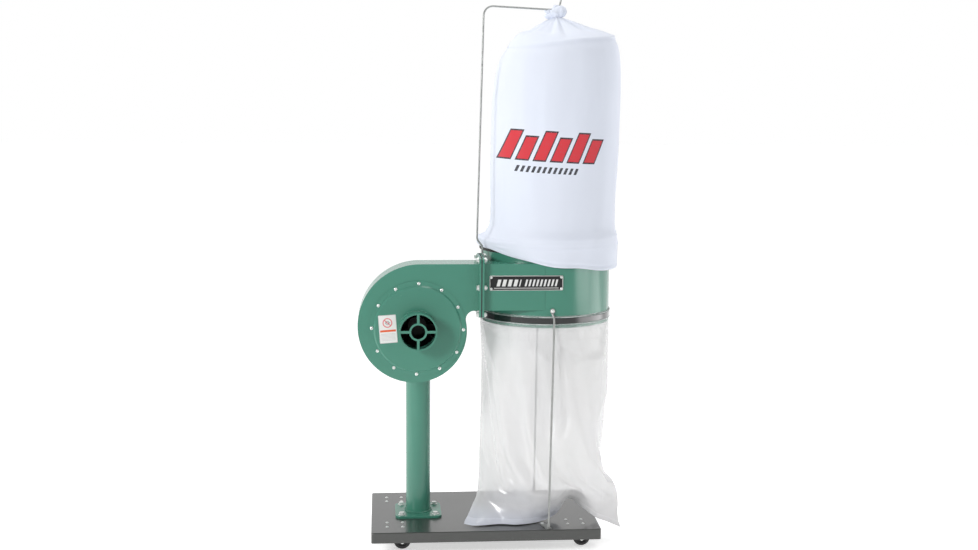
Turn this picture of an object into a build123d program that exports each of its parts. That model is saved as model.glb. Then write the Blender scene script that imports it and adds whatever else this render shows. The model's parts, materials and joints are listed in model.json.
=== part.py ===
from build123d import *

import os
from math import atan2, cos, degrees, radians, sin, sqrt

# Single-stage dust collector: rolling base, column, radial blower, collector drum and two bags.
# Millimetres, +Z up, the fan's inlet faces -Y and the collector drum stands on the +X side.
# The pieces are drawn about the centre of the base plate at floor level, and export() then puts
# the origin at the centre of the whole machine's footprint box.

# ---------------------------------------------------------------- driving dimensions
# fits
gap = 0.3                     # air between a soft or loose piece and its neighbour
hole_play = 0.3               # radial play of a fastener in its hole
running_play = 0.05           # radial play of a turning fit
sheet = 2.0                   # steel sheet of the blower, drum and base

# base
base_length = 600.0
base_width = 355.0
base_top = 64.0               # height of the deck above the floor
base_skirt = 28.0             # depth of the folded edge
base_corner = 6.0

# casters
caster_inset_x = 62.0         # swivel axes, in from the base's edges
caster_inset_y = 66.0
caster_trail = 19.0
wheel_radius = 22.5
wheel_width = 18.0
caster_plate_x = 56.0
caster_plate_y = 50.0
caster_plate = 2.5
caster_bolt_x = 41.0          # hole-to-hole
caster_bolt_y = 36.0
caster_bolt_radius = 2.5
race_radius = 16.0
race_height = 4.0
kingpin_radius = 5.0
fork_sheet = 2.0
axle_radius = 3.0

# column
column_x = -174.0
column_radius = 33.0
column_wall = 2.5
column_flange = 124.0         # square foot
column_flange_thickness = 6.0
column_bolt_spacing = 90.0
column_bolt_radius = 4.0
saddle_length = 126.0         # plate on top of the column
saddle_width = 116.0
saddle_thickness = 6.0
saddle_gap = 18.5             # behind the blower's back plate

# blower
fan_x = -180.0
fan_z = 597.0
scroll_radius = 132.0         # first quarter of the scroll
scroll_step = 13.3            # growth for each further quarter
cutoff_radius = 22.0
blower_depth = 90.0
duct_height = 119.5
duct_end_x = -25.0            # where the blower's outlet meets its flange
cover_radius = 123.0
cover_bolt_circle = 116.3     # radius
cover_bolts = 12
cover_sheet = 1.5
cover_rise = 4.0              # height of the pressed centre
cover_step_radius = 111.0
cover_turn = -1.4             # degrees, clocking of the screws
blower_mouth = 109.0          # radius of the opening behind the cover
port_radius = 47.5
port_length = 45.0
port_wall = 2.0
guard_rim = 1.5
guard_hub_radius = 22.5
guard_hub_wall = 4.8
guard_spoke = 6.5
guard_depth = 5.0
guard_recess = 1.0
screw_head_radius = 4.4

# impeller and motor
impeller_radius = 105.0
impeller_blades = 8
impeller_depth = 62.0
impeller_back_gap = 8.5       # blower's back wall to the impeller's disc
impeller_disc = 3.0
blade_thickness = 2.5
impeller_hub_radius = 24.0
impeller_hub_length = 34.0
shaft_nose_radius = 8.0
shaft_bearing_radius = 8.5
shaft_core_radius = 12.0
bearing_radius = 20.0
bearing_width = 12.0
motor_radius = 75.0
motor_wall = 5.0
fin_height = 6.0
fin_width = 2.4
fins = 30
front_bell = 36.0             # length
motor_barrel = 150.0
rear_bell = 20.0
fan_cover_length = 66.0
fan_cover_radius = 83.0
stator_length = 80.0
air_gap = 0.6
rotor_core_radius = 44.0
motor_bolt_circle = 62.0      # radius of the screws that hold the blower to the motor
foot_height = 5.0
foot_rib_half = 28.0
capacitor_radius = 18.0
capacitor_length = 80.0
capacitor_room = 4.5          # air between the capacitor and its cover
capacitor_turn = 35.0         # degrees from the top, towards +X
switch_box_size = (46.0, 92.0, 74.0)
rocker_size = (13.0, 20.0, 30.0)
rocker_tilt = 10.0            # degrees either side of its middle
rocker_pin = 1.6              # radius of its trunnions
gland_radius = 8.0
gland_bore = 4.5              # radius
gland_shift = (-3.0, -18.5)   # from the middle of the box's rear end

# outlet joint
flange_rim = 18.0             # how far the flanges stand out round the duct
flange_side = 15.0
flange_thickness = 5.0
gasket_thickness = 3.0
flange_corner = 17.0
flange_bolt_radius = 3.5

# collector
drum_radius = 171.5
drum_neck = 4.5               # inlet flange to the drum's side
drum_below = 46.75            # wall below the duct, and above it
drum_above = 49.75
bead_radius = 3.0
lap = 20.0                    # inlet's front sheet stops this far short of the tangent line
nameplate_size = (188.0, 38.0)
nameplate_edge = 14.0         # in from the inlet flange
nameplate_rise = 11.0         # above the duct's middle
label_size = (45.0, 72.0)
label_turn = 4.0              # degrees
label_gap = 5.5               # from the port

# bags
bag_wall = 2.0
cuff_ease = 15.0              # how far the loose cuff stands out from the drum
cuff_shift = 7.0
cuff_drop = 43.5              # from the drum's top down to the hem, on the cuff's axis
cuff_slope = 8.7              # degrees, lower towards +X
snap_band_height = 20.0
snap_band_drop = 28.0         # from the drum's top
# filter bag: height above the drum's top, centre's and radius's difference from the drum's
filter_rings = (
    (6.0, 7.0, 14.5),
    (34.0, 17.0, -7.5),
    (231.0, 22.5, -2.5),
    (388.0, 26.5, -3.5),
    (473.0, 32.0, -15.5),
    (518.0, 32.5, -34.5),
    (540.0, 30.0, -75.5),
    (554.0, 26.0, -127.5),
)
bag_neck = (572.0, 23.0)         # tied neck: height above the drum's top, distance from its axis
bag_neck_radius = 13.0
loop_radius = 12.0
loop_cord = 1.8

film = 1.5
hem_up = 32.0                 # hem's overlap on the drum, and its straight length below
hem_down = 8.0
# dust bag: share of the way down from the hem, centre's and half length's difference from
# the drum's, and room to the line of the support rods
dust_rings = (
    (0.207, 6.0, -0.5, 11.0),
    (0.418, -1.0, -5.5, 14.0),
    (0.591, -5.0, -4.5, 15.0),
    (0.735, -2.0, 0.5, 21.0),
    (0.842, 9.0, 12.5, 28.0),
    (0.936, 14.0, 19.5, 38.0),
    (1.0, -44.0, 0.5, 59.0),
)
dust_lift = 2.4               # the bag's floor lies on the bolt heads
dust_corner_y = (-98.0, -62.0)
# hanging corner of the dust bag, side view from the deck's right edge
dust_corner = ((2.0, 32.0), (45.0, 26.0), (68.0, -8.0), (62.0, -34.0), (50.0, -34.0), (2.0, 4.0))

# clamp band and its toggle latch
clamp_rise = 12.0             # above the drum's lower rim
clamp_height = 14.0
clamp_thickness = 1.4
clamp_angle = 66.0            # degrees round the drum from +X
clamp_gap = 12.0
latch_pin_radius = 1.5
latch_arm = 8.0               # lever pin to bail pivot
lever_length = 46.0
lever_width = 11.0
bail_wire = 1.3
bail_reach = 39.4

# rods
support_rod = 2.75            # radius
support_eye_rise = 45.0       # above the drum's lower rim
support_foot_inset = 10.5     # in from the deck's edge
support_foot_in = 4.5         # in from the drum's side
eye_half = 1.5                # half the thickness of the flattened eye
foot_tab = 2.6
hanger_rod = 2.4
# hanger's corners: the first two from the inlet flange, the back sheet and the drum's top,
# the others from the drum's axis and top
hanger_low = (-12.0, 1.5, 4.0)
hanger_high = (3.0, 11.5, 600.0)
hanger_dip = (14.0, 596.0)
hook_bottom = (22.5, 574.0)
hook_tip = (34.0, 622.0)
hook_bend = 5.5               # radius of the wire's centre line

# ---------------------------------------------------------------- worked-out places
deck_under = base_top - sheet
front_y = -drum_radius
back_y = front_y + blower_depth
half_step = scroll_step / 2
duct_top = fan_z + half_step + scroll_radius + 2 * scroll_step
duct_bottom = duct_top - duct_height
flange_y0 = front_y - flange_side
flange_y1 = back_y + flange_side
flange_z0 = duct_bottom - flange_rim
flange_z1 = duct_top + flange_rim
gasket_x = duct_end_x + flange_thickness
inlet_flange_x = gasket_x + gasket_thickness
inlet_x = inlet_flange_x + flange_thickness
drum_x = inlet_x + drum_neck + drum_radius
drum_bottom = duct_bottom - drum_below
drum_top = duct_top + drum_above
nameplate_x = inlet_x + nameplate_edge + nameplate_size[0] / 2
nameplate_z = (duct_bottom + duct_top) / 2 + nameplate_rise
cuff_radius = drum_radius + cuff_ease
cuff_x = drum_x + cuff_shift
cuff_bottom = drum_top - cuff_drop
snap_band_bottom = drum_top - snap_band_drop
hem_top = drum_bottom + hem_up
hem_bottom = drum_bottom - hem_down
clamp_bottom = drum_bottom + clamp_rise
support_eye_z = drum_bottom + support_eye_rise
support_foot_y = min(drum_radius - support_foot_in, base_width / 2 - support_foot_inset)
caster_x = base_length / 2 - caster_inset_x
caster_y = base_width / 2 - caster_inset_y
cover_face = front_y - cover_sheet - cover_rise
port_end = cover_face - port_length
saddle_top = fan_z - motor_radius - 12.0
saddle_y = back_y + saddle_gap + saddle_length / 2
bell_end = back_y + front_bell
barrel_end = bell_end + motor_barrel
rear_end = barrel_end + rear_bell
motor_mid = bell_end + motor_barrel / 2
clamp_radius = drum_radius + 2 * gap + film
dust_bottom = base_top + dust_lift + gap
impeller_back = back_y - sheet - impeller_back_gap
impeller_front = impeller_back - impeller_hub_length


def tube_y(outer, inner, y0, y1, x=fan_x, z=fan_z):
    """Tube, or a rod where inner is 0, along Y."""
    place = Pos(x, (y0 + y1) / 2, z) * Rot(90, 0, 0)
    body = Cylinder(outer, y1 - y0)
    if inner:
        body -= Cylinder(inner, y1 - y0)
    return place * body


def tube_z(outer, inner, z0, z1, x=0.0, y=0.0):
    body = Cylinder(outer, z1 - z0)
    if inner:
        body -= Cylinder(inner, z1 - z0)
    return Pos(x, y, (z0 + z1) / 2) * body


def block(x0, x1, y0, y1, z0, z1):
    return Pos((x0 + x1) / 2, (y0 + y1) / 2, (z0 + z1) / 2) * Box(x1 - x0, y1 - y0, z1 - z0)


def hexagon(radius, height):
    return extrude(RegularPolygon(radius, 6), height)


def bolt(shank, head, length, nut_at=None):
    """Hex bolt along -Z from its seat at z 0, with a washer and, where nut_at is given, a nut."""
    washer = Pos(0, 0, 0.8) * Cylinder(head * 1.25, 1.6)
    body = washer + Pos(0, 0, 1.6) * hexagon(head, shank * 1.3)
    body += Pos(0, 0, -length / 2) * Cylinder(shank, length)
    if nut_at is not None:
        body += Pos(0, 0, -nut_at - shank * 1.6) * hexagon(head, shank * 1.6)
    return body


def pan_screw(shank, head, length):
    """Domed screw along -Z from its seat at z 0."""
    rise = head * 0.55
    ball = (head**2 + rise**2) / (2 * rise)
    dome = Pos(0, 0, rise - ball) * Sphere(ball) & Pos(0, 0, rise / 2) * Cylinder(head, rise)
    return dome + Pos(0, 0, -length / 2) * Cylinder(shank, length)


def corners(dx, dy):
    return [(sx * dx / 2, sy * dy / 2) for sx in (-1, 1) for sy in (-1, 1)]


def group(shapes):
    """Separate solids in one node."""
    return Compound(children=[s for shape in shapes for s in shape.solids()])


# ---------------------------------------------------------------- base and casters
caster_places = {
    "front_left": (-caster_x, -caster_y),
    "front_right": (caster_x, -caster_y),
    "rear_left": (-caster_x, caster_y),
    "rear_right": (caster_x, caster_y),
}


def base_plate():
    z0 = base_top - base_skirt
    pan = block(-base_length / 2, base_length / 2, -base_width / 2, base_width / 2, z0, base_top)
    pan = fillet(pan.edges().filter_by(Axis.Z), base_corner)
    pan = fillet(pan.faces().sort_by(Axis.Z)[-1].edges(), sheet)
    inner_x = base_length / 2 - sheet
    inner_y = base_width / 2 - sheet
    hollow = block(-inner_x, inner_x, -inner_y, inner_y, z0 - 1, deck_under)
    hollow = fillet(hollow.edges().filter_by(Axis.Z), base_corner - sheet)
    pan -= hollow
    holes = []
    for x, y in caster_places.values():
        for dx, dy in corners(caster_bolt_x, caster_bolt_y):
            holes.append((x + dx, y + dy, caster_bolt_radius))
    for dx, dy in corners(column_bolt_spacing, column_bolt_spacing):
        holes.append((column_x + dx, dy, column_bolt_radius))
    for side in (-1, 1):
        x, y = foot_screw_place(side)
        holes.append((x, y, caster_bolt_radius))
    for x, y, radius in holes:
        pan -= tube_z(radius + hole_play, 0, deck_under - 1, base_top + 1, x, y)
    return pan


def caster_top_plates():
    plates = []
    race_bottom = deck_under - caster_plate - race_height
    fork_under = race_bottom - 0.8 - fork_sheet
    for x, y in caster_places.values():
        z0 = deck_under - caster_plate
        plate = block(
            x - caster_plate_x / 2, x + caster_plate_x / 2,
            y - caster_plate_y / 2, y + caster_plate_y / 2, z0, deck_under,
        )
        plate = fillet(plate.edges().filter_by(Axis.Z), 6)
        for dx, dy in corners(caster_bolt_x, caster_bolt_y):
            plate -= tube_z(caster_bolt_radius + hole_play, 0, z0 - 1, deck_under + 1, x + dx, y + dy)
        plate += tube_z(race_radius, 0, race_bottom, z0, x, y)
        plate += tube_z(kingpin_radius, 0, fork_under - 2.6, race_bottom, x, y)
        plate += tube_z(kingpin_radius + 3, 0, fork_under - 2.6, fork_under - 0.8, x, y)
        plates.append(plate)
    return group(plates)


def caster_bolts():
    bolts = []
    length = sheet + caster_plate + 5
    for x, y in caster_places.values():
        for dx, dy in corners(caster_bolt_x, caster_bolt_y):
            body = pan_screw(caster_bolt_radius, screw_head_radius, length)
            nut = Pos(0, 0, -sheet - caster_plate - 4) * hexagon(4.6, 4)
            bolts.append(Pos(x + dx, y + dy, base_top) * (body + nut))
    return group(bolts)


def caster_fork(x, y):
    """Pressed fork that hangs on the kingpin, with its axle riveted through both legs."""
    top = deck_under - caster_plate - race_height - 0.8
    half = wheel_width / 2 + 1.2
    crown = tube_z(race_radius + 1, 0, top - fork_sheet, top)
    crown &= block(-20, 20, -half - fork_sheet, half + fork_sheet, 0, top)
    leg_line = Polyline(
        (-11, top - fork_sheet), (14, top - fork_sheet), (caster_trail + 7, wheel_radius - 4),
        (caster_trail, wheel_radius - 8), (caster_trail - 7, wheel_radius - 4), (-11, top - 12),
        close=True,
    )
    leg_face = Plane.XZ * make_face(leg_line)
    body = crown
    for side in (-1, 1):
        leg = extrude(leg_face, fork_sheet / 2, both=True)
        body += Pos(0, side * (half + fork_sheet / 2), 0) * leg
    body -= tube_z(kingpin_radius + running_play, 0, top - fork_sheet - 1, top + 1)
    reach = half + fork_sheet
    body -= tube_y(axle_radius + 0.1, 0, -reach - 1, reach + 1, caster_trail, wheel_radius)
    axle = tube_y(axle_radius, 0, -reach - 0.6, reach + 0.6, caster_trail, wheel_radius)
    for side in (-1, 1):
        y0, y1 = sorted((side * (reach + 0.1), side * (reach + 2.0)))
        axle += tube_y(axle_radius + 2, 0, y0, y1, caster_trail, wheel_radius)
    return Pos(x, y, 0) * group([body, axle])


def caster_wheel(x, y):
    """Solid tyre on a ribbed hub, turning on the fork's axle."""
    half = wheel_width / 2
    wheel = Cylinder(wheel_radius, wheel_width)
    wheel = fillet(wheel.edges(), 4.5)
    for side in (-1, 1):
        dish = Pos(0, 0, side * (half - 1.5)) * (Cylinder(14.5, 3) - Cylinder(7, 3))
        wheel -= dish
    wheel -= Cylinder(axle_radius + running_play, wheel_width)
    return Pos(x + caster_trail, y, wheel_radius) * Rot(90, 0, 0) * wheel


# ---------------------------------------------------------------- column
def rounded_plate(dx, dy, corner, z0, z1):
    return Pos(0, 0, z0) * extrude(RectangleRounded(dx, dy, corner), z1 - z0)


def column_base_flange():
    plate = rounded_plate(column_flange, column_flange, 16, base_top, base_top + column_flange_thickness)
    plate = fillet(plate.faces().sort_by(Axis.Z)[-1].edges(), 1.5)
    for dx, dy in corners(column_bolt_spacing, column_bolt_spacing):
        plate -= tube_z(column_bolt_radius + hole_play, 0, base_top - 1, base_top + 20, dx, dy)
    return Pos(column_x, 0, 0) * plate


def column_tube():
    z0 = base_top + column_flange_thickness
    z1 = saddle_top - saddle_thickness
    weld = 4.0
    tube = tube_z(column_radius, column_radius - column_wall, z0, z1)
    for z, way in ((z0, 1), (z1, -1)):
        bead = chamfer_ring(column_radius, weld, way)
        tube += Pos(0, 0, z) * bead
    return Pos(column_x, 0, 0) * tube


def chamfer_ring(radius, size, way):
    """Fillet weld round a tube, rising along +Z where way is 1."""
    profile = Polyline((radius - 0.5, 0), (radius + size, 0), (radius - 0.5, way * size), close=True)
    return revolve(Plane.XZ * make_face(profile), Axis.Z)


def motor_saddle_plate():
    z0 = saddle_top - saddle_thickness
    plate = rounded_plate(saddle_width, saddle_length, 10, z0, saddle_top)
    for dx, dy in corners(saddle_width - 26, saddle_length - 36):
        plate -= tube_z(column_bolt_radius + hole_play, 0, z0 - 1, saddle_top + 1, dx, dy)
    return Pos(column_x, saddle_y, 0) * plate


def column_bolts():
    seat = base_top + column_flange_thickness
    under = column_flange_thickness + sheet
    bolts = []
    for dx, dy in corners(column_bolt_spacing, column_bolt_spacing):
        bolts.append(Pos(column_x + dx, dy, seat) * bolt(column_bolt_radius, 7.0, under + 10, under))
    return group(bolts)


# ---------------------------------------------------------------- blower
def scroll_face(inset=0.0, overrun=0.0):
    """Side view of the scroll and its outlet, inset by a wall, on the XZ plane about the fan's axis.

    Three quarter arcs struck from the corners of a small square, each a step larger than the
    last, and a concave cutoff that runs into the outlet's floor.
    """
    h = half_step
    end = duct_end_x - fan_x + overrun
    floor = duct_bottom - fan_z
    r1 = scroll_radius
    rise = floor - cutoff_radius + h
    reach = sqrt((r1 + cutoff_radius) ** 2 - rise**2)
    start = degrees(atan2(rise, reach))
    cutoff_x = reach - h
    inner = cutoff_radius + inset
    right = CenterArc((-h, -h), r1 - inset, start, -(90 + start))
    lower = CenterArc((-h, h), r1 + scroll_step - inset, 270, -90)
    upper = CenterArc((h, h), r1 + 2 * scroll_step - inset, 180, -90)
    cutoff = CenterArc((cutoff_x, floor - cutoff_radius), inner, 90, 90 + start)
    roof = Line(upper @ 1, (end, (upper @ 1).Y))
    mouth = Line(roof @ 1, (end, floor + inset))
    sill = Line(mouth @ 1, cutoff @ 0)
    return make_face([right, lower, upper, roof, mouth, sill, cutoff])


def on_fan(face, y0, y1):
    """Extrudes a face of the fan's XZ plane from y0 back to y1."""
    plane = Plane(origin=(fan_x, y1, fan_z), x_dir=(1, 0, 0), z_dir=(0, -1, 0))
    return extrude(plane * face, y1 - y0)


def volute_front_plate():
    plate = on_fan(scroll_face(), front_y, front_y + sheet)
    plate -= tube_y(blower_mouth, 0, front_y - 1, front_y + sheet + 1)
    for x, z in cover_screw_places():
        plate -= tube_y(2.5 + hole_play, 0, front_y - 1, front_y + sheet + 1, x, z)
    return plate


def volute_back_plate():
    plate = on_fan(scroll_face(), back_y - sheet, back_y)
    plate -= tube_y(shaft_bearing_radius + 6, 0, back_y - sheet - 1, back_y + 1)
    for x, z in motor_screw_places():
        plate -= tube_y(3 + hole_play, 0, back_y - sheet - 1, back_y + 1, x, z)
    return plate


def volute_scroll_band():
    y0, y1 = front_y + sheet, back_y - sheet
    return on_fan(scroll_face(), y0, y1) - on_fan(scroll_face(sheet, 1.0), y0 - 1, y1 + 1)


def polar(count, radius, turn=0.0):
    """(x, z) round the fan's axis, clockwise from the top."""
    places = []
    for i in range(count):
        a = radians(90 + turn - 360 * i / count)
        places.append((fan_x + radius * cos(a), fan_z + radius * sin(a)))
    return places


def cover_screw_places():
    return polar(cover_bolts, cover_bolt_circle, cover_turn)


def motor_screw_places():
    return polar(4, motor_bolt_circle, 45)


def facing_front(shape, x, y, z):
    """Turns a piece drawn along +Z to face -Y."""
    return Pos(x, y, z) * Rot(90, 0, 0) * shape


def inlet_cover():
    """Pressed disc: flat rim, conical step and raised centre with a hole for the port."""
    ramp = cover_rise
    rim, step, hub = cover_radius, cover_step_radius, port_radius - port_wall
    t = cover_sheet
    profile = Polyline(
        (hub, cover_rise), (step - ramp, cover_rise), (step, 0), (rim, 0), (rim, t),
        (step + t / 2, t), (step - ramp + t / 2, cover_rise + t), (hub, cover_rise + t), close=True,
    )
    disc = revolve(Plane.XZ * make_face(profile), Axis.Z)
    cover = facing_front(disc, fan_x, front_y, fan_z)
    for x, z in cover_screw_places():
        cover -= tube_y(2.5 + hole_play, 0, cover_face, front_y + 1, x, z)
    return cover


def inlet_port():
    port = tube_y(port_radius, port_radius - port_wall, port_end, cover_face)
    weld = Rot(90, 0, 0) * chamfer_ring(port_radius, 2.5, 1)
    return port + Pos(fan_x, cover_face, fan_z) * weld


def inlet_guard():
    rim_outer = port_radius - port_wall - running_play
    y0 = port_end + guard_recess
    y1 = y0 + guard_depth
    guard = tube_y(rim_outer, rim_outer - guard_rim, y0, y1)
    guard += tube_y(guard_hub_radius, guard_hub_radius - guard_hub_wall, y0, y1)
    span = 2 * (rim_outer - guard_rim / 2)
    spokes = Box(span, guard_depth, guard_spoke) + Box(guard_spoke, guard_depth, span)
    spokes -= Rot(90, 0, 0) * Cylinder(guard_hub_radius - guard_hub_wall / 2, guard_depth)
    return guard + Pos(fan_x, (y0 + y1) / 2, fan_z) * spokes


def inlet_cover_screws():
    seat = front_y - cover_sheet
    screw = pan_screw(2.5, screw_head_radius, cover_sheet + sheet + 4)
    return group([facing_front(screw, x, seat, z) for x, z in cover_screw_places()])


def safety_label():
    plate = Box(label_size[0], 0.4, label_size[1])
    x = fan_x - port_radius - label_gap - label_size[0] / 2
    return Pos(x, cover_face - 0.2, fan_z + 1) * Rot(0, -label_turn, 0) * plate


# ---------------------------------------------------------------- outlet joint and collector
def flange_bolt_places():
    """(y, z) of the bolts: two above, two below and one each side of the duct."""
    mid_y = (flange_y0 + flange_y1) / 2
    mid_z = (flange_z0 + flange_z1) / 2
    places = [(mid_y + dy, z) for dy in (-45, 45) for z in (flange_z0 + 8, flange_z1 - 8)]
    return places + [(flange_y0 + 7, mid_z), (flange_y1 - 7, mid_z)]


def duct_flange(x0, x1):
    width, height = flange_y1 - flange_y0, flange_z1 - flange_z0
    face = RectangleRounded(width, height, flange_corner)
    face -= Rectangle(blower_depth - 2 * sheet, duct_height - 2 * sheet)
    plane = Plane(
        origin=(x0, (flange_y0 + flange_y1) / 2, (flange_z0 + flange_z1) / 2),
        x_dir=(0, 1, 0), z_dir=(1, 0, 0),
    )
    flange = extrude(plane * face, x1 - x0)
    for y, z in flange_bolt_places():
        flange -= Pos((x0 + x1) / 2, y, z) * Rot(0, 90, 0) * Cylinder(flange_bolt_radius + hole_play, 20)
    return flange


def flange_bolts():
    stack = inlet_x - duct_end_x
    bolts = []
    for i, (y, z) in enumerate(flange_bolt_places()):
        under_eye = 2 * hanger_rod if (y, z) == hanger_bolt_place() else 0.0
        body = bolt(flange_bolt_radius, 6.2, stack + under_eye + 8, stack + under_eye)
        bolts.append(Pos(duct_end_x, y, z) * Rot(0, -90, 0) * body)
    return group(bolts)


def hanger_bolt_place():
    return max(flange_bolt_places(), key=lambda p: (p[1], p[0]))


def drum_hole():
    return block(
        drum_x - drum_radius - 5, drum_x - lap - 8,
        front_y + sheet, back_y - sheet, duct_bottom + sheet, duct_top - sheet,
    )


def collector_drum():
    """Rolled ring with a bead turned inward at each rim and the inlet's opening."""
    wall = tube_z(drum_radius, drum_radius - sheet, drum_bottom, drum_top)
    for z in (drum_bottom + bead_radius, drum_top - bead_radius):
        wall += Pos(0, 0, z) * Torus(drum_radius - bead_radius, bead_radius - 0.01)
    wall = Pos(drum_x, 0, 0) * wall - drum_hole()
    for side in (-1, 1):
        hole = Rot(90, 0, 0) * Cylinder(2.5 + hole_play, 12)
        wall -= Pos(drum_x, side * drum_radius, support_eye_z) * hole
    return wall


def collector_inlet_duct():
    """Square duct that runs tangent into the front of the drum."""
    end = drum_x - lap
    duct = block(inlet_x, end, front_y, back_y, duct_bottom, duct_top)
    duct -= block(
        inlet_x - 1, end + 1, front_y + sheet, back_y - sheet, duct_bottom + sheet, duct_top - sheet,
    )
    return duct - tube_z(drum_radius + 0.02, 0, duct_bottom - 1, duct_top + 1, drum_x)


def nameplate():
    dx, dz = nameplate_size
    plate = Box(dx, 1.0, dz)
    plate = fillet(plate.edges().filter_by(Axis.Y), 3)
    for x, z in nameplate_rivet_offsets():
        plate -= Pos(x, 0, z) * Rot(90, 0, 0) * Cylinder(1.6 + hole_play, 3)
    return Pos(nameplate_x, front_y - 0.5, nameplate_z) * plate


def nameplate_rivet_offsets():
    dx, dz = nameplate_size
    return corners(dx - 9, dz - 9)


def nameplate_rivets():
    rivets = []
    for x, z in nameplate_rivet_offsets():
        rivet = pan_screw(1.6, 3.2, 1.0)
        rivets.append(facing_front(rivet, nameplate_x + x, front_y - 1.0, nameplate_z + z))
    return group(rivets)


# ---------------------------------------------------------------- filter bag and hanger
def filter_shape(inset):
    rings = [(cuff_bottom - 60, cuff_x, cuff_radius)]
    rings += [(drum_top + up, drum_x + dx, drum_radius + dr) for up, dx, dr in filter_rings]
    rings.append((drum_top + bag_neck[0], drum_x + bag_neck[1], bag_neck_radius))
    sections = [Pos(x, 0, z) * Circle(r - inset) for z, x, r in rings if r - inset > 10]
    return loft(sections, ruled=True)


def hanger_points():
    """Corners of the hanger rod above its eye, then the hook's lowest point and tip."""
    points = [Vector(inlet_x + x, back_y + y, drum_top + z) for x, y, z in (hanger_low, hanger_high)]
    return points + [Vector(drum_x + x, 0, drum_top + z) for x, z in (hanger_dip, hook_bottom, hook_tip)]


def hook_seat():
    """Centre of the wire where the hook is lowest."""
    dip, corner, tip = hanger_points()[2:]
    back = (dip - corner).normalized()
    up = (tip - corner).normalized()
    half = radians(back.get_angle(up) / 2)
    middle = (back + up).normalized()
    return corner + middle * (hook_bend / sin(half) - hook_bend)


def filter_bag():
    """Hollow sack with a loose cuff outside the drum and a lip that the snap band holds to it."""
    bag = filter_shape(0.0) - filter_shape(bag_wall + 1)
    slope = Rot(0, cuff_slope, 0) * Pos(0, 0, -100) * Box(600, 600, 200)
    bag -= Pos(cuff_x, 0, cuff_bottom) * slope
    lip_inner = drum_radius + gap
    lip_top = drum_top + gap
    lip = tube_z(lip_inner + bag_wall, lip_inner, snap_band_bottom - 6, lip_top, drum_x)
    shelf = tube_z(drum_radius + 30, drum_radius - 4, lip_top, lip_top + bag_wall, drum_x)
    bag += lip + (shelf & filter_shape(1.0))
    seat = hook_seat()
    loop_z = seat.Z + hanger_rod + gap - (loop_radius - loop_cord)
    loop = Pos(seat.X, 0, loop_z) * Rot(0, 90, 0) * Torus(loop_radius, loop_cord)
    return bag + loop


def filter_bag_snap_band():
    """Spring band in the cuff, open at the back."""
    inner = drum_radius + 2 * gap + bag_wall
    z0, z1 = snap_band_bottom, snap_band_bottom + snap_band_height
    band = tube_z(inner + 1.2, inner, z0, z1)
    band -= block(-8, 8, 0, inner + 20, z0 - 1, z1 + 1)
    return Pos(drum_x, 0, 0) * band


def rod_along(points, radii, radius):
    path = FilletPolyline(*points, radius=radii)
    return sweep(Plane(path @ 0, z_dir=path % 0) * Circle(radius), path=path)


def bag_hanger_rod():
    y, z = hanger_bolt_place()
    x = inlet_x + hanger_rod
    root = Vector(x, y, z + 16)
    path = [root, Vector(x - 1, y, z + 26), *hanger_points()]
    rod = rod_along(path, [5, 14, 26, 5, hook_bend], hanger_rod)
    eye = Pos(x, y, z) * Rot(0, 90, 0) * Cylinder(8.5, 2 * hanger_rod - 0.2)
    neck = block(x - hanger_rod + 0.1, x + hanger_rod - 0.1, y - 3.2, y + 3.2, z + 5, z + 18)
    eye = eye + neck
    eye -= Pos(x, y, z) * Rot(0, 90, 0) * Cylinder(flange_bolt_radius + hole_play, 20)
    return rod + eye


# ---------------------------------------------------------------- dust bag, clamp and support rods
def support_rod_clear():
    """Distance of the rods from the drum's axis where they pass the clamp band."""
    return clamp_radius + clamp_thickness + gap + support_rod + 1.5


def support_rod_line(z):
    """The same distance lower down, where each rod leans towards its foot."""
    share = (z - base_top) / (clamp_bottom - 16 - base_top)
    return support_foot_y + share * (support_rod_clear() - support_foot_y)


def dust_shape(inset):
    """The sack below its hem, as flat-sided rings."""
    sections = [Pos(drum_x, 0, hem_bottom) * Circle(drum_radius + gap + film - inset)]
    for share, dx, da, room in dust_rings:
        z = hem_bottom + share * (dust_bottom - hem_bottom)
        half = support_rod_line(z) - room - inset
        lift = inset if share == 1 else 0
        sections.append(Pos(drum_x + dx, 0, z + lift) * Ellipse(drum_radius + da - inset, half))
    return loft(sections, ruled=True)


def dust_bag():
    """Film sack: hem round the drum's lower rim, floor on the deck, one corner over the edge."""
    hem_inner = drum_radius + gap
    sack = dust_shape(0.0) + tube_z(hem_inner + film, 0, hem_bottom, hem_top, drum_x)
    y0, y1 = dust_corner_y
    corner = extrude(Plane.XZ * make_face(Polyline(*dust_corner, close=True)), (y1 - y0) / 2, both=True)
    sack += Pos(base_length / 2, (y0 + y1) / 2, base_top) * corner
    return sack - (dust_shape(film) + tube_z(hem_inner, 0, hem_bottom, hem_top + 1, drum_x))


def latch_frame():
    """Where the latch sits: radial along +X, tangential along +Y, before it turns round the drum."""
    turn = Pos(drum_x, 0, clamp_bottom + clamp_height / 2) * Rot(0, 0, clamp_angle)
    return turn * Pos(clamp_radius + clamp_thickness, 0, 0)


def latch_pivot():
    return (5.0, -14.0)       # radial, tangential


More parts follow.
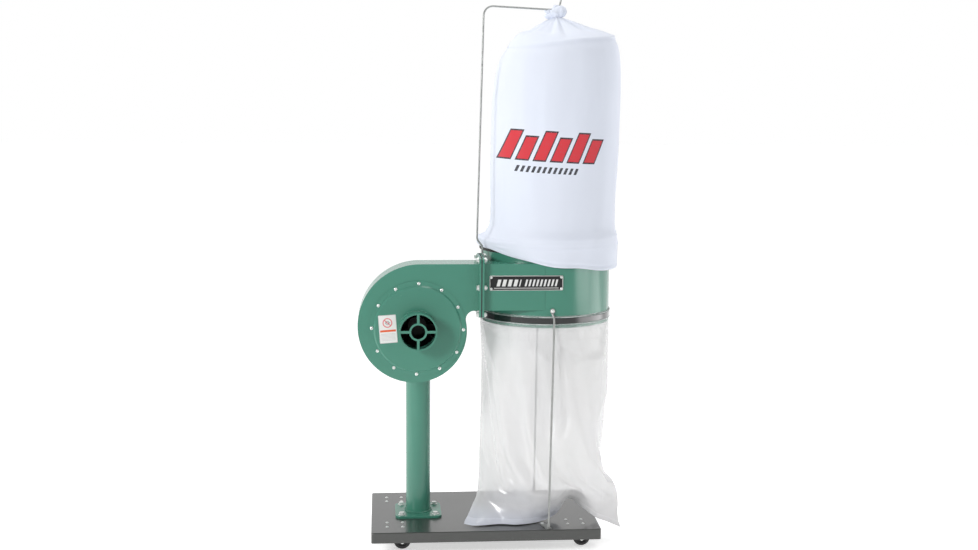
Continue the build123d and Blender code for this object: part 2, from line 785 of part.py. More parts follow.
def dust_bag_clamp_band():
    inner, outer = clamp_radius, clamp_radius + clamp_thickness
    half = clamp_height / 2
    band = tube_z(outer, inner, -half, half)
    band -= block(0, outer + 10, -clamp_gap / 2, clamp_gap / 2, -half - 1, half + 1)
    band = Pos(-outer, 0, 0) * band
    r, t = latch_pivot()
    ear_z = lever_width / 2 + 0.4
    foot = block(-0.9, 1.4, t - 16, t + 6, -half, half)
    band += foot
    for side in (-1, 1):
        z0, z1 = sorted((side * ear_z, side * (ear_z + 1.1)))
        ear = block(0, r, t - 4, t + 4, z0, z1)
        band += ear + Pos(r, t, (z0 + z1) / 2) * Cylinder(4, z1 - z0)
    pin = Pos(r, t, 0) * Cylinder(latch_pin_radius, 2 * ear_z + 3.4)
    for side in (-1, 1):
        hole = Pos(r, t, side * (ear_z + 0.5)) * Cylinder(latch_pin_radius + 0.1, 3)
        band -= hole
    hook = block(-0.9, 1.4, clamp_gap / 2 + 1, clamp_gap / 2 + 12, -half, half)
    stop = clamp_gap / 2 + 10
    hook += block(0, r + bail_wire + 2.6, stop - 1.8, stop, -half + 1, half - 1)
    return latch_frame() * group([band + hook, pin])


def dust_bag_clamp_lever():
    r, t = latch_pivot()
    half = lever_width / 2
    body = block(r - 2.4, r + 2.6, t - latch_arm - 3, t, -half, half)
    body += Pos(r, t, 0) * Cylinder(3, lever_width)
    handle = block(r - 0.4, r + 1.6, t - lever_length, t - latch_arm, -half, half)
    body += handle
    tip = Pos(r + 1.6, t - lever_length, 0) * Cylinder(2.0, lever_width)
    body += tip
    body -= Pos(r, t, 0) * Cylinder(latch_pin_radius + running_play, lever_width + 2)
    body -= Pos(r, t - latch_arm, 0) * Cylinder(bail_wire + 0.1, lever_width + 2)
    return latch_frame() * body


def dust_bag_clamp_bail():
    """Wire loop from the lever to the band's hook."""
    r, t = latch_pivot()
    t0 = t - latch_arm
    side_z = lever_width / 2 + 3.4
    end = t0 + bail_reach
    path = FilletPolyline(
        (r, t0, -side_z + 5), (r, t0, -side_z), (r, end, -side_z), (r, end, side_z),
        (r, t0, side_z), (r, t0, side_z - 5), radius=1.6,
    )
    wire = sweep(Plane(path @ 0, z_dir=path % 0) * Circle(bail_wire), path=path)
    return latch_frame() * wire


def foot_screw_place(side):
    """Screw of a support rod's foot, side -1 in front and 1 behind."""
    return (drum_x - 14, side * (support_foot_y - 38))


def support_rod_piece(side):
    """Rod from the drum's lower rim to the deck, flattened at both ends."""
    x = drum_x
    face = drum_radius + eye_half + 0.1
    start = drum_radius + gap + support_rod
    clear = support_rod_clear()
    top = [
        Vector(x, side * start, support_eye_z - 6),
        Vector(x, side * start, support_eye_z - 8),
        Vector(x + 3, side * clear, hem_top - 3),
        Vector(x + 4, side * clear, clamp_bottom - 16),
        Vector(x - 2, side * support_foot_y, base_top + support_rod + 8),
    ]
    rod = rod_along(top, [2.5, 12, 12], support_rod)
    plate = facing_front(Cylinder(6.5, 2 * eye_half), x, side * face, support_eye_z)
    y0, y1 = sorted((side * (face - eye_half), side * (start + 1)))
    plate += block(x - 3, x + 3, y0, y1, support_eye_z - 8.5, support_eye_z - 5)
    plate -= facing_front(Cylinder(2.5 + hole_play, 8), x, side * face, support_eye_z)
    sx, sy = foot_screw_place(side)
    foot_x, foot_y = x - 2, side * support_foot_y
    run = Vector(sx - foot_x, sy - foot_y)
    turn = degrees(atan2(run.Y, run.X))
    tab = Pos(run.length / 2 + 2, 0, foot_tab / 2) * Box(run.length + 12, 13, foot_tab)
    tab += Pos(1.5, 0, 6.5) * Box(5.0, 7.5, 13)
    foot = Pos(foot_x, foot_y, base_top) * Rot(0, 0, turn) * tab
    foot -= tube_z(2.5 + hole_play, 0, base_top - 1, base_top + 6, sx, sy)
    return rod + plate + foot


def support_rod_screws():
    screws = []
    for side in (-1, 1):
        seat = side * (drum_radius + 2 * eye_half + 0.1)
        turn = Rot(90, 0, 0) if side < 0 else Rot(-90, 0, 0)
        screw = pan_screw(2.5, 5.0, 9)
        screws.append(Pos(drum_x, seat, support_eye_z) * turn * screw)
        x, y = foot_screw_place(side)
        screws.append(Pos(x, y, base_top + foot_tab) * pan_screw(2.5, 4.6, 9))
    return group(screws)


# ---------------------------------------------------------------- motor
def motor_front_bell():
    wall = motor_radius + 3
    bell = tube_y(wall, motor_radius - motor_wall, back_y, bell_end)
    bell += tube_y(wall, shaft_bearing_radius + 3, back_y, back_y + 6)
    bell += tube_y(bearing_radius + 6, bearing_radius + running_play, back_y + 6, back_y + 6 + bearing_width)
    for x, z in motor_screw_places():
        bell -= tube_y(3 + hole_play, 0, back_y - 1, back_y + 8, x, z)
    return bell


def motor_barrel_piece():
    ring = Circle(motor_radius)
    for i in range(fins):
        reach = motor_radius + fin_height
        fin = Pos((reach + motor_radius - 2) / 2, 0) * Rectangle(reach - motor_radius + 2, fin_width)
        ring += Rot(0, 0, 360 * (i + 0.5) / fins) * fin
    ring -= Circle(motor_radius - motor_wall)
    plane = Plane(origin=(fan_x, barrel_end, fan_z), x_dir=(1, 0, 0), z_dir=(0, -1, 0))
    barrel = extrude(plane * ring, motor_barrel)
    barrel -= foot_volume(1.0)
    barrel -= switch_seat(0.0)
    return barrel - capacitor_seat()


def motor_rear_bell():
    bell = tube_y(motor_radius + 3, motor_radius - motor_wall, barrel_end, rear_end)
    bell += tube_y(motor_radius + 3, shaft_bearing_radius + 3, rear_end - 6, rear_end)
    seat = rear_end - 6 - bearing_width
    bell += tube_y(bearing_radius + 6, bearing_radius + running_play, seat, rear_end - 6)
    return bell


def motor_bearings():
    inner, outer = shaft_bearing_radius + running_play, bearing_radius
    rings = []
    for y0 in (back_y + 6, rear_end - 6 - bearing_width):
        ring = tube_y(outer, inner, y0, y0 + bearing_width)
        for y in (y0, y0 + bearing_width - 1):
            ring -= tube_y(outer - 3.5, inner + 3, y - 0.01, y + 1.01)
        rings.append(ring)
    return group(rings)


def motor_stator_core():
    y0, y1 = motor_mid - stator_length / 2, motor_mid + stator_length / 2
    core = tube_y(motor_radius - motor_wall - running_play, rotor_core_radius + air_gap, y0, y1)
    slots = []
    for i in range(18):
        slot = Pos(rotor_core_radius + 10, 0, 0) * Box(14, 5, stator_length + 2)
        slots.append(Rot(0, 0, 20 * i) * slot)
    place = Pos(fan_x, motor_mid, fan_z) * Rot(90, 0, 0)
    for slot in slots:
        core -= place * slot
    return core


def motor_rotor_core():
    y0, y1 = motor_mid - stator_length / 2, motor_mid + stator_length / 2
    core = tube_y(rotor_core_radius, shaft_core_radius, y0, y1)
    for y in (y0 - 8, y1):
        core += tube_y(rotor_core_radius - 2, rotor_core_radius - 16, y, y + 8)
    return core


def motor_shaft():
    nose = impeller_front + 1
    fan_seat = rear_end + 24
    front_bearing = back_y + 6 + bearing_width
    rear_bearing = rear_end - 6 - bearing_width
    shaft = tube_y(shaft_nose_radius, 0, nose, back_y - 2)
    shaft += tube_y(shaft_bearing_radius, 0, back_y - 2, front_bearing + 2)
    shaft += tube_y(shaft_core_radius, 0, front_bearing + 2, rear_bearing - 2)
    shaft += tube_y(shaft_bearing_radius, 0, rear_bearing - 2, rear_end)
    return shaft + tube_y(shaft_nose_radius, 0, rear_end, fan_seat)


def motor_cooling_fan():
    y0 = rear_end + 5
    y1 = rear_end + 22
    fan = tube_y(14, shaft_nose_radius, y0, y1) + tube_y(34, shaft_nose_radius, y0, y0 + 2.5)
    place = Pos(fan_x, (y0 + y1) / 2, fan_z) * Rot(90, 0, 0)
    for i in range(7):
        fan += place * Rot(0, 0, 360 * i / 7) * Pos(40, 0, 0) * Box(56, 2.5, y1 - y0)
    return fan


def motor_fan_cover():
    """Pressed cap over the cooling fan, with rings of slots in its end."""
    y0 = barrel_end + 2
    y1 = y0 + fan_cover_length
    wall = 1.5
    cap = tube_y(fan_cover_radius, 0, y0, y1)
    cap = fillet(cap.faces().sort_by(Axis.Y)[-1].edges(), 10)
    cavity = tube_y(fan_cover_radius - wall, 0, y0 - 1, y1 - wall)
    cavity = fillet(cavity.faces().sort_by(Axis.Y)[-1].edges(), 10 - wall)
    cap -= cavity
    place = Pos(fan_x, y1, fan_z) * Rot(90, 0, 0)
    cutters = []
    for radius, count in ((26, 8), (42, 14), (58, 20)):
        for i in range(count):
            slot = Pos(radius, 0, 0) * Box(11, 4.2, 8)
            cutters.append(place * Rot(0, 0, 360 * i / count) * slot)
    return cap - cutters


def foot_size():
    """(x0, x1, y0, y1) of the motor's foot."""
    return (fan_x - 56, fan_x + 56, bell_end + 1, bell_end + 107)


def foot_volume(grow):
    x0, x1, y0, y1 = foot_size()
    ribs = None
    for y in (y0 + 5, y1 - 17):
        half = foot_rib_half + grow
        rib = block(fan_x - half, fan_x + half, y - grow, y + 12 + grow, saddle_top + foot_height, fan_z - 40)
        ribs = rib if ribs is None else ribs + rib
    return ribs


def motor_foot():
    """Cast foot: a plate with two cradling ribs under the barrel."""
    x0, x1, y0, y1 = foot_size()
    foot = block(x0, x1, y0, y1, saddle_top, saddle_top + foot_height)
    foot = fillet(foot.edges().filter_by(Axis.Z), 8)
    foot += foot_volume(0.0)
    foot -= tube_y(motor_radius + 0.1, 0, y0 - 1, y1 + 1)
    for x, y in motor_foot_bolts_places():
        foot -= tube_z(column_bolt_radius + hole_play, 0, saddle_top - 1, saddle_top + foot_height + 1, x, y)
    return foot


def motor_foot_bolts_places():
    return [(column_x + dx, saddle_y + dy) for dx, dy in corners(saddle_width - 26, saddle_length - 36)]


def motor_foot_bolts():
    stack = foot_height + saddle_thickness
    seat = saddle_top + foot_height
    place = [Pos(x, y, seat) for x, y in motor_foot_bolts_places()]
    return group([p * bolt(column_bolt_radius, 7.0, stack + 9, stack) for p in place])


def blower_motor_screws():
    seat = back_y - sheet
    screw = pan_screw(3.0, 5.5, 8)
    return group([facing_front(screw, x, seat, z) for x, z in motor_screw_places()])


def capacitor_place():
    """On the barrel's upper right, +Z outwards from its round wall."""
    return Pos(fan_x, motor_mid, fan_z) * Rot(0, capacitor_turn, 0) * Pos(0, 0, motor_radius)


def saddle_box(radius, length):
    """Half-round box standing on the barrel."""
    rise = capacitor_radius + capacitor_room
    box = Pos(0, 0, rise) * Rot(90, 0, 0) * Cylinder(radius, length)
    return box + Pos(0, 0, rise / 2 - 5) * Box(2 * radius, length, rise + 10)


def capacitor_seat():
    """Room in the fins for the cover."""
    radius = capacitor_radius + capacitor_room + 1.5
    return capacitor_place() * saddle_box(radius + 1, cover_length() + 2) - motor_body(0.0)


def motor_body(grow):
    return tube_y(motor_radius + grow, 0, back_y - 20, rear_end + 100)


def cover_length():
    return capacitor_length + 2 * capacitor_room + 12


def capacitor_cover():
    radius, wall = capacitor_radius + capacitor_room, 1.5
    cover = saddle_box(radius + wall, cover_length()) - saddle_box(radius, cover_length() - 2 * wall)
    return capacitor_place() * cover - motor_body(0.05)


def start_capacitor():
    can = Rot(90, 0, 0) * Cylinder(capacitor_radius, capacitor_length)
    can += Pos(0, -capacitor_length / 2 - 2, 0) * Rot(90, 0, 0) * Cylinder(7, 4)
    return capacitor_place() * Pos(0, 0, capacitor_radius + 0.1) * can


def switch_centre():
    dx = switch_box_size[0]
    return Vector(fan_x - motor_radius - 4 - dx / 2, motor_mid, fan_z + 8)


def switch_seat(grow):
    """Room in the fins for the box's back."""
    dx, dy, dz = switch_box_size
    c = switch_centre()
    x0 = c.X + dx / 2 - 1
    return block(x0 - 9, x0 + 1, c.Y - dy / 2 - 1 - grow, c.Y + dy / 2 + 1 + grow, c.Z - dz / 2 - 1, c.Z + dz / 2 + 1)


def switch_box():
    dx, dy, dz = switch_box_size
    wall = 2.5
    box = Box(dx, dy, dz)
    box = fillet(box.edges().filter_by(Axis.X), 6)
    box = fillet(box.faces().sort_by(Axis.X)[0].edges(), 3)
    box -= Box(dx - 2 * wall, dy - 2 * wall, dz - 2 * wall)
    depth, width, height = rocker_size
    box -= Pos(-dx / 2, 0, 0) * Box(12, width + 1, height + 3)
    frame = Pos(-dx / 2 - 1, 0, 0) * (Box(2, width + 8, height + 11) - Box(4, width + 1, height + 3))
    box += frame
    box -= Pos(2 - dx / 2, 0, 0) * Rot(90, 0, 0) * Cylinder(rocker_pin + 0.1, width + 5)
    box -= Pos(gland_shift[0], dy / 2, gland_shift[1]) * Rot(90, 0, 0) * Cylinder(gland_radius + 0.1, 12)
    return Pos(*switch_centre()) * box


def rocker_axis():
    c = switch_centre()
    return Vector(c.X - switch_box_size[0] / 2 + 2, c.Y, c.Z)


def switch_rocker():
    """Rocker with a shallow V face, resting with its lower half pressed in."""
    depth, width, height = rocker_size
    h = height / 2
    profile = Polyline(
        (-6.0, h), (-4.2, 0), (-6.0, -h), (3.0, -h + 3), (5.0, 0), (3.0, h - 3), close=True,
    )
    body = extrude(Plane.XZ * make_face(profile), width / 2, both=True)
    body += Rot(90, 0, 0) * Cylinder(rocker_pin, width + 4)
    return Pos(*rocker_axis()) * Rot(0, -rocker_tilt, 0) * body


def gland_place():
    """Centre of the gland on the box's rear end."""
    return switch_centre() + Vector(gland_shift[0], switch_box_size[1] / 2, gland_shift[1])


def cord_gland():
    x, y, z = gland_place()
    body = tube_y(gland_radius, gland_bore, y - 8, y + 3, x, z)
    nut = hexagon(11.5, 10.9) - Pos(0, 0, 5) * Cylinder(gland_bore, 30)
    return body + Pos(x, y + 0.1, z) * Rot(-90, 0, 0) * nut


# ---------------------------------------------------------------- impeller
def impeller():
    """Open radial wheel: back disc, hub and straight blades that taper towards the inlet."""
    wheel = tube_y(impeller_radius, shaft_nose_radius, impeller_back - impeller_disc, impeller_back)
    wheel += tube_y(impeller_hub_radius, shaft_nose_radius, impeller_front, impeller_back)
    tip = impeller_radius - 1
    outline = Polyline(
        (impeller_hub_radius - 3, 0), (tip, 0), (tip, impeller_depth * 0.72),
        (46, impeller_depth), (impeller_hub_radius - 3, 30), close=True,
    )
    blade = extrude(Plane.XZ * make_face(outline), blade_thickness / 2, both=True)
    place = Pos(fan_x, impeller_back - impeller_disc + 0.5, fan_z) * Rot(90, 0, 0)
    for i in range(impeller_blades):
        wheel += place * Rot(0, 0, 360 * i / impeller_blades + 12) * blade
    return wheel


def impeller_bolt():
    head = Pos(0, 0, 1.5) * Cylinder(19, 3) + Pos(0, 0, 3) * hexagon(8, 6)
    return facing_front(head, fan_x, impeller_front, fan_z)


# ---------------------------------------------------------------- all the pieces
def pieces():
    made = {
        "base_plate": base_plate(),
        "caster_top_plates": caster_top_plates(),
        "caster_bolts": caster_bolts(),
        "column_base_flange": column_base_flange(),
        "column_tube": column_tube(),
        "motor_saddle_plate": motor_saddle_plate(),
        "column_bolts": column_bolts(),
        "volute_front_plate": volute_front_plate(),
        "volute_back_plate": volute_back_plate(),
        "volute_scroll_band": volute_scroll_band(),
        "inlet_cover": inlet_cover(),
        "inlet_port": inlet_port(),
        "inlet_guard": inlet_guard(),
        "inlet_cover_screws": inlet_cover_screws(),
        "safety_label": safety_label(),
        "volute_outlet_flange": duct_flange(duct_end_x, gasket_x),
        "flange_gasket": duct_flange(gasket_x, inlet_flange_x),
        "collector_inlet_flange": duct_flange(inlet_flange_x, inlet_x),
        "flange_bolts": flange_bolts(),
        "collector_drum": collector_drum(),
        "collector_inlet_duct": collector_inlet_duct(),
        "nameplate": nameplate(),
        "nameplate_rivets": nameplate_rivets(),
        "filter_bag": filter_bag(),
        "filter_bag_snap_band": filter_bag_snap_band(),
        "bag_hanger_rod": bag_hanger_rod(),
        "dust_bag": dust_bag(),
        "dust_bag_clamp_band": dust_bag_clamp_band(),
        "dust_bag_clamp_lever": dust_bag_clamp_lever(),
        "dust_bag_clamp_bail": dust_bag_clamp_bail(),
        "support_rod_front": support_rod_piece(-1),
        "support_rod_rear": support_rod_piece(1),
        "support_rod_screws": support_rod_screws(),
        "motor_front_bell": motor_front_bell(),
        "motor_barrel": motor_barrel_piece(),
        "motor_rear_bell": motor_rear_bell(),
        "motor_bearings": motor_bearings(),
        "motor_stator_core": motor_stator_core(),
        "motor_rotor_core": motor_rotor_core(),
        "motor_shaft": motor_shaft(),
        "motor_cooling_fan": motor_cooling_fan(),
        "motor_fan_cover": motor_fan_cover(),
        "motor_foot": motor_foot(),
        "motor_foot_bolts": motor_foot_bolts(),
        "blower_motor_screws": blower_motor_screws(),
        "capacitor_cover": capacitor_cover(),
        "start_capacitor": start_capacitor(),
        "switch_box": switch_box(),
        "switch_rocker": switch_rocker(),
        "cord_gland": cord_gland(),
        "impeller": impeller(),
        "impeller_bolt": impeller_bolt(),
    }
    for name, (x, y) in caster_places.items():
        made["caster_fork_" + name] = caster_fork(x, y)
        made["caster_wheel_" + name] = caster_wheel(x, y)
    return made


def origin_shift(made):
    """Moves the origin to the centre of the footprint box, on the floor."""
    boxes = [shape.bounding_box() for shape in made.values()]
    x = (min(b.min.X for b in boxes) + max(b.max.X for b in boxes)) / 2
    y = (min(b.min.Y for b in boxes) + max(b.max.Y for b in boxes)) / 2
    return Vector(-x, -y, -min(b.min.Z for b in boxes))


def export(made, shift):
    os.makedirs("parts", exist_ok=True)
    for name, shape in made.items():
        export_step(Pos(shift.X, shift.Y, shift.Z) * shape, f"parts/{name}.step")


machine = pieces()
shift = origin_shift(machine)
export(machine, shift)
print("origin shift", round(shift.X, 2), round(shift.Y, 2), round(shift.Z, 2))
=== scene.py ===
import json
import math
import bmesh
import bpy
from mathutils import Matrix, Vector, noise


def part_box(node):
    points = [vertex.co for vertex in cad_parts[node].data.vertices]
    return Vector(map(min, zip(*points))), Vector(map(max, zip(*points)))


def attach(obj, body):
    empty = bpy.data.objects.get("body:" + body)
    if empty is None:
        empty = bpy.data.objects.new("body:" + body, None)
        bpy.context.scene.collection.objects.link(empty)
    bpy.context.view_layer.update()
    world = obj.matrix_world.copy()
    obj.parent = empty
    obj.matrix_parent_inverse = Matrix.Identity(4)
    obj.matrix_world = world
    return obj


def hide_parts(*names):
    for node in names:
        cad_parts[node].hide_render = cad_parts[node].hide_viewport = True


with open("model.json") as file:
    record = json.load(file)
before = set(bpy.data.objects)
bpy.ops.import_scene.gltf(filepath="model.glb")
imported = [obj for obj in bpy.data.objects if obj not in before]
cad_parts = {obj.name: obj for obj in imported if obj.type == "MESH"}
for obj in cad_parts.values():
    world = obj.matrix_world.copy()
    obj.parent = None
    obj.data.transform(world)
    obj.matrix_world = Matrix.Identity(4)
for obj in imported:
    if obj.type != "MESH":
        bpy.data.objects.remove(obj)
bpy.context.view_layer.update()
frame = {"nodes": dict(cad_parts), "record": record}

nodes = frame["nodes"]

# the deck's centre is the middle of every place given below, in millimetres
deckLow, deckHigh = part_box("base_plate")
home = Vector(((deckLow.x + deckHigh.x) / 2, (deckLow.y + deckHigh.y) / 2, 0))


def at(x, y, z):
    return home + Vector((x, y, z)) / 1000


# node helpers


class Sock:
    # wraps an output so that arithmetic adds Math nodes
    def __init__(self, tree, out):
        self.tree, self.out = tree, out

    def math(self, operation, *others, swap=False):
        n = self.tree.nodes.new("ShaderNodeMath")
        n.operation = operation
        values = [self, *others]
        if swap:
            values.reverse()
        for i, v in enumerate(values):
            if isinstance(v, Sock):
                self.tree.links.new(v.out, n.inputs[i])
            else:
                n.inputs[i].default_value = v
        return Sock(self.tree, n.outputs[0])

    def __add__(self, o):
        return self.math("ADD", o)

    def __radd__(self, o):
        return self.math("ADD", o, swap=True)

    def __sub__(self, o):
        return self.math("SUBTRACT", o)

    def __rsub__(self, o):
        return self.math("SUBTRACT", o, swap=True)

    def __mul__(self, o):
        return self.math("MULTIPLY", o)

    def __rmul__(self, o):
        return self.math("MULTIPLY", o, swap=True)

    def __truediv__(self, o):
        return self.math("DIVIDE", o)

    def __pow__(self, o):
        return self.math("POWER", o)

    def below(self, o):
        return self.math("LESS_THAN", o)

    def above(self, o):
        return self.math("GREATER_THAN", o)

    def size(self):
        return self.math("ABSOLUTE")

    def wrap(self):
        return self.math("FRACT")

    def whole(self):
        return self.math("FLOOR")

    def between(self, low, high):
        return self.above(low) * self.below(high)

    def step(self, low, high, a=0.0, b=1.0):
        # smooth change from a to b between low and high
        n = self.tree.nodes.new("ShaderNodeMapRange")
        n.interpolation_type = "SMOOTHSTEP"
        self.tree.links.new(self.out, n.inputs["Value"])
        for key, value in (("From Min", low), ("From Max", high), ("To Min", a), ("To Max", b)):
            n.inputs[key].default_value = value
        return Sock(self.tree, n.outputs[0])


class Nodes:
    # a node tree and the one way that its nodes are made
    def node(self, kind, settings=None, inputs=None, out=0):
        n = self.tree.nodes.new(kind)
        for key, value in (settings or {}).items():
            if key == "stops":
                ramp = n.color_ramp
                while len(ramp.elements) < len(value):
                    ramp.elements.new(0.5)
                for e, (place, colour) in zip(ramp.elements, value):
                    e.position = place
                    e.color = (*colour, 1)
            else:
                setattr(n, key, value)
        for key, value in (inputs or {}).items():
            self.put(n.inputs[key], value)
        return Sock(self.tree, n.outputs[out])

    def put(self, socket, value):
        if isinstance(value, Sock):
            self.tree.links.new(value.out, socket)
        elif isinstance(value, tuple) and len(value) == 3 and socket.type == "RGBA":
            socket.default_value = (*value, 1)
        else:
            socket.default_value = value


class Finish(Nodes):
    def __init__(self, name):
        self.mat = bpy.data.materials.new(name)
        self.mat.use_nodes = True
        self.tree = self.mat.node_tree
        self.tree.nodes.clear()
        end = self.tree.nodes.new("ShaderNodeOutputMaterial")
        self.skin = self.tree.nodes.new("ShaderNodeBsdfPrincipled")
        self.tree.links.new(self.skin.outputs[0], end.inputs[0])

    def set(self, **values):
        for key, value in values.items():
            self.put(self.skin.inputs[key.replace("_", " ")], value)
        return self.mat

    def place(self, out="Object"):
        return self.node("ShaderNodeTexCoord", out=out)

    def parts(self, vector):
        n = self.tree.nodes.new("ShaderNodeSeparateXYZ")
        self.tree.links.new(vector.out, n.inputs[0])
        return [Sock(self.tree, o) for o in n.outputs]

    def cloud(self, scale, detail=3.0, rough=0.5, stretch=None):
        where = self.place()
        if stretch:
            where = self.node("ShaderNodeMapping", {}, {0: where, "Scale": stretch})
        inputs = {"Vector": where, "Scale": scale, "Detail": detail, "Roughness": rough}
        return self.node("ShaderNodeTexNoise", {}, inputs)

    def blend(self, factor, a, b):
        return self.node("ShaderNodeMix", {"data_type": "RGBA"}, {0: factor, 6: a, 7: b}, out=2)

    def bump(self, height, distance, strength=1.0):
        inputs = {"Height": height, "Distance": distance, "Strength": strength}
        return self.node("ShaderNodeBump", {}, inputs)


def shade(colour, k):
    return tuple(min(1.0, c * k) for c in colour)


# metal, paint and plastic


def enamel(name, colour, rough=0.18, peel=0.00008, coat=0.3, blur=0.07):
    # sprayed paint on sheet: orange peel, slightly uneven tone and a few dull rubs
    f = Finish(name)
    tone = f.cloud(6, 4)
    rub = f.cloud(34, 6, 0.7).step(0.62, 0.8)
    f.skin.inputs["Coat Roughness"].default_value = blur
    return f.set(
        Base_Color=f.blend(tone.step(0.3, 0.75) * 0.5, colour, shade(colour, 0.9)),
        Roughness=rough + rub * 0.12 + tone * 0.06,
        Coat_Weight=coat - rub * 0.2,
        Normal=f.bump(f.cloud(380, 2), peel, 0.5),
    )


def plated(name, colour, rough=0.28, metal=1.0, grain=160, stretch=(1, 1, 0.08)):
    # zinc or bare metal: faint drawn lines and mottling
    f = Finish(name)
    mottled = f.cloud(70, 5, 0.6)
    return f.set(
        Base_Color=f.blend(mottled.step(0.35, 0.7) * 0.5, colour, shade(colour, 0.74)),
        Metallic=metal - mottled * 0.05,
        Roughness=rough + mottled * 0.12,
        Normal=f.bump(f.cloud(grain, 3, 0.6, stretch), 0.00004, 0.5),
    )


def moulded(name, colour, rough=0.5, grain=900, depth=0.00006):
    # fine-grained plastic or rubber with a little dust
    f = Finish(name)
    dust = f.cloud(24, 5, 0.65).step(0.5, 0.85)
    return f.set(
        Base_Color=f.blend(dust * 0.3, colour, tuple(min(1, c * 1.5 + 0.015) for c in colour)),
        Roughness=rough + dust * 0.15,
        Normal=f.bump(f.cloud(grain, 2), depth, 0.6),
    )


finish = {
    "green_paint": enamel("greenEnamel", (0.064, 0.252, 0.180)),
    "grey_paint": enamel("deckEnamel", (0.027, 0.029, 0.026), 0.4, 0.0002, 1.0, 0.17),
    # zinc brightened as painted highlight on the screw and bolt heads
    "zinc": plated("zincPlateLit", (0.9, 0.92, 0.9), 0.3, 0.6),
    "steel": plated("turnedSteel", (0.5, 0.5, 0.5), 0.34),
    "cast_aluminium": plated("castAlloy", (0.42, 0.43, 0.44), 0.5, 0.85, 500, (1, 1, 1)),
    "black_strap": enamel("strapLacquer", (0.012, 0.013, 0.014), 0.12, coat=1.0),
    # a darker copy of the same zinc for the rods, painted shade
    "rodZincShaded": plated("rodZincShaded", (0.40, 0.41, 0.40), 0.36, 0.6),
    "darkSteelAndShade": enamel("darkSteelAndShade", (0.012, 0.011, 0.01), 0.5, coat=0.0),
    "black_plastic": moulded("blackPlastic", (0.018, 0.018, 0.019)),
    "wheel_tread": moulded("wheelRubber", (0.02, 0.02, 0.021), 0.42, 500),
    "gasket_rubber": moulded("gasketRubber", (0.03, 0.03, 0.03), 0.7),
    "red_plastic": moulded("redPlastic", (0.55, 0.02, 0.015), 0.3),
    "copper_core": plated("laminations", (0.3, 0.26, 0.22), 0.5, 0.8, 300, (1, 0.02, 1)),
}
for slot in ("felt", "clear_film", "plate_black", "label_white"):
    finish[slot] = finish["gasket_rubber"]  # these nodes are replaced below
# the rods take the darker zinc copy, painted shade
special = dict.fromkeys(("bag_hanger_rod", "support_rod_front", "support_rod_rear"), "rodZincShaded")
# the impeller and its bolt are dark steel; the snap band under the cuff gets the same dark finish as painted
# shade
for name in ("impeller", "impeller_bolt", "filter_bag_snap_band"):
    special[name] = "darkSteelAndShade"
for part in frame["record"]["subparts"]:
    obj = nodes[part["node"]]
    obj.data.materials.clear()
    obj.data.materials.append(finish[special.get(part["node"], part["material_slot"])])
print("finishes on", len(nodes), "nodes")


# mesh helpers


def addObject(name, mesh, material, body="machine", smooth=True):
    obj = bpy.data.objects.new(name, mesh)
    bpy.context.scene.collection.objects.link(obj)
    mesh.materials.clear()
    mesh.materials.append(material)
    if smooth:
        mesh.shade_smooth()
    if body:
        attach(obj, body)
    return obj


def gridMesh(name, rows):
    # rows of points, each a ring round the piece, into quads; u runs round and v along
    bm = bmesh.new()
    uv = bm.loops.layers.uv.new("UVMap")
    made = [[bm.verts.new(p) for p in row] for row in rows]
    count = len(rows[0])
    for i in range(len(rows) - 1):
        for j in range(count):
            k = (j + 1) % count
            face = bm.faces.new((made[i][j], made[i][k], made[i + 1][k], made[i + 1][j]))
            for loop, (u, v) in zip(face.loops, ((j, i), (j + 1, i), (j + 1, i + 1), (j, i + 1))):
                loop[uv].uv = (u / count, v / (len(rows) - 1))
    bmesh.ops.recalc_face_normals(bm, faces=bm.faces)
    mesh = bpy.data.meshes.new(name)
    bm.to_mesh(mesh)
    bm.free()
    return mesh


def plainMesh(obj):
    # the evaluated shape as an ordinary mesh, with the modifiers gone
    made = bpy.data.meshes.new_from_object(obj.evaluated_get(bpy.context.evaluated_depsgraph_get()))
    obj.modifiers.clear()
    old = obj.data
    obj.data = made
    bpy.data.meshes.remove(old)
    return obj


def around(count):
    # even steps of one turn, counted from +X
    return [2 * math.pi * j / count for j in range(count)]


def ease(a, b, x):
    t = min(1.0, max(0.0, (x - a) / (b - a)))
    return t * t * (3 - 2 * t)


def mix(a, b, t):
    return a + (b - a) * t


def curveOn(points, x):
    # smooth curve through rows of numbers, read at x of the first column
    up = points[-1][0] > points[0][0]
    i = 0
    while i < len(points) - 2 and (x > points[i + 1][0] if up else x < points[i + 1][0]):
        i += 1
    a, b = points[i], points[i + 1]
    before, after = points[max(i - 1, 0)], points[min(i + 2, len(points) - 1)]
    span = b[0] - a[0]
    s = min(1.0, max(0.0, (x - a[0]) / span))
    s2, s3 = s * s, s * s * s
    out = []
    for k in range(1, len(a)):
        m0 = (b[k] - before[k]) / (b[0] - before[0]) * span
        m1 = (after[k] - a[k]) / (after[0] - a[0]) * span
        ends = (2 * s3 - 3 * s2 + 1) * a[k] + (3 * s2 - 2 * s3) * b[k]
        out.append(ends + (s3 - 2 * s2 + s) * m0 + (s3 - s2) * m1)
    return out


# repeated small pieces by Geometry Nodes


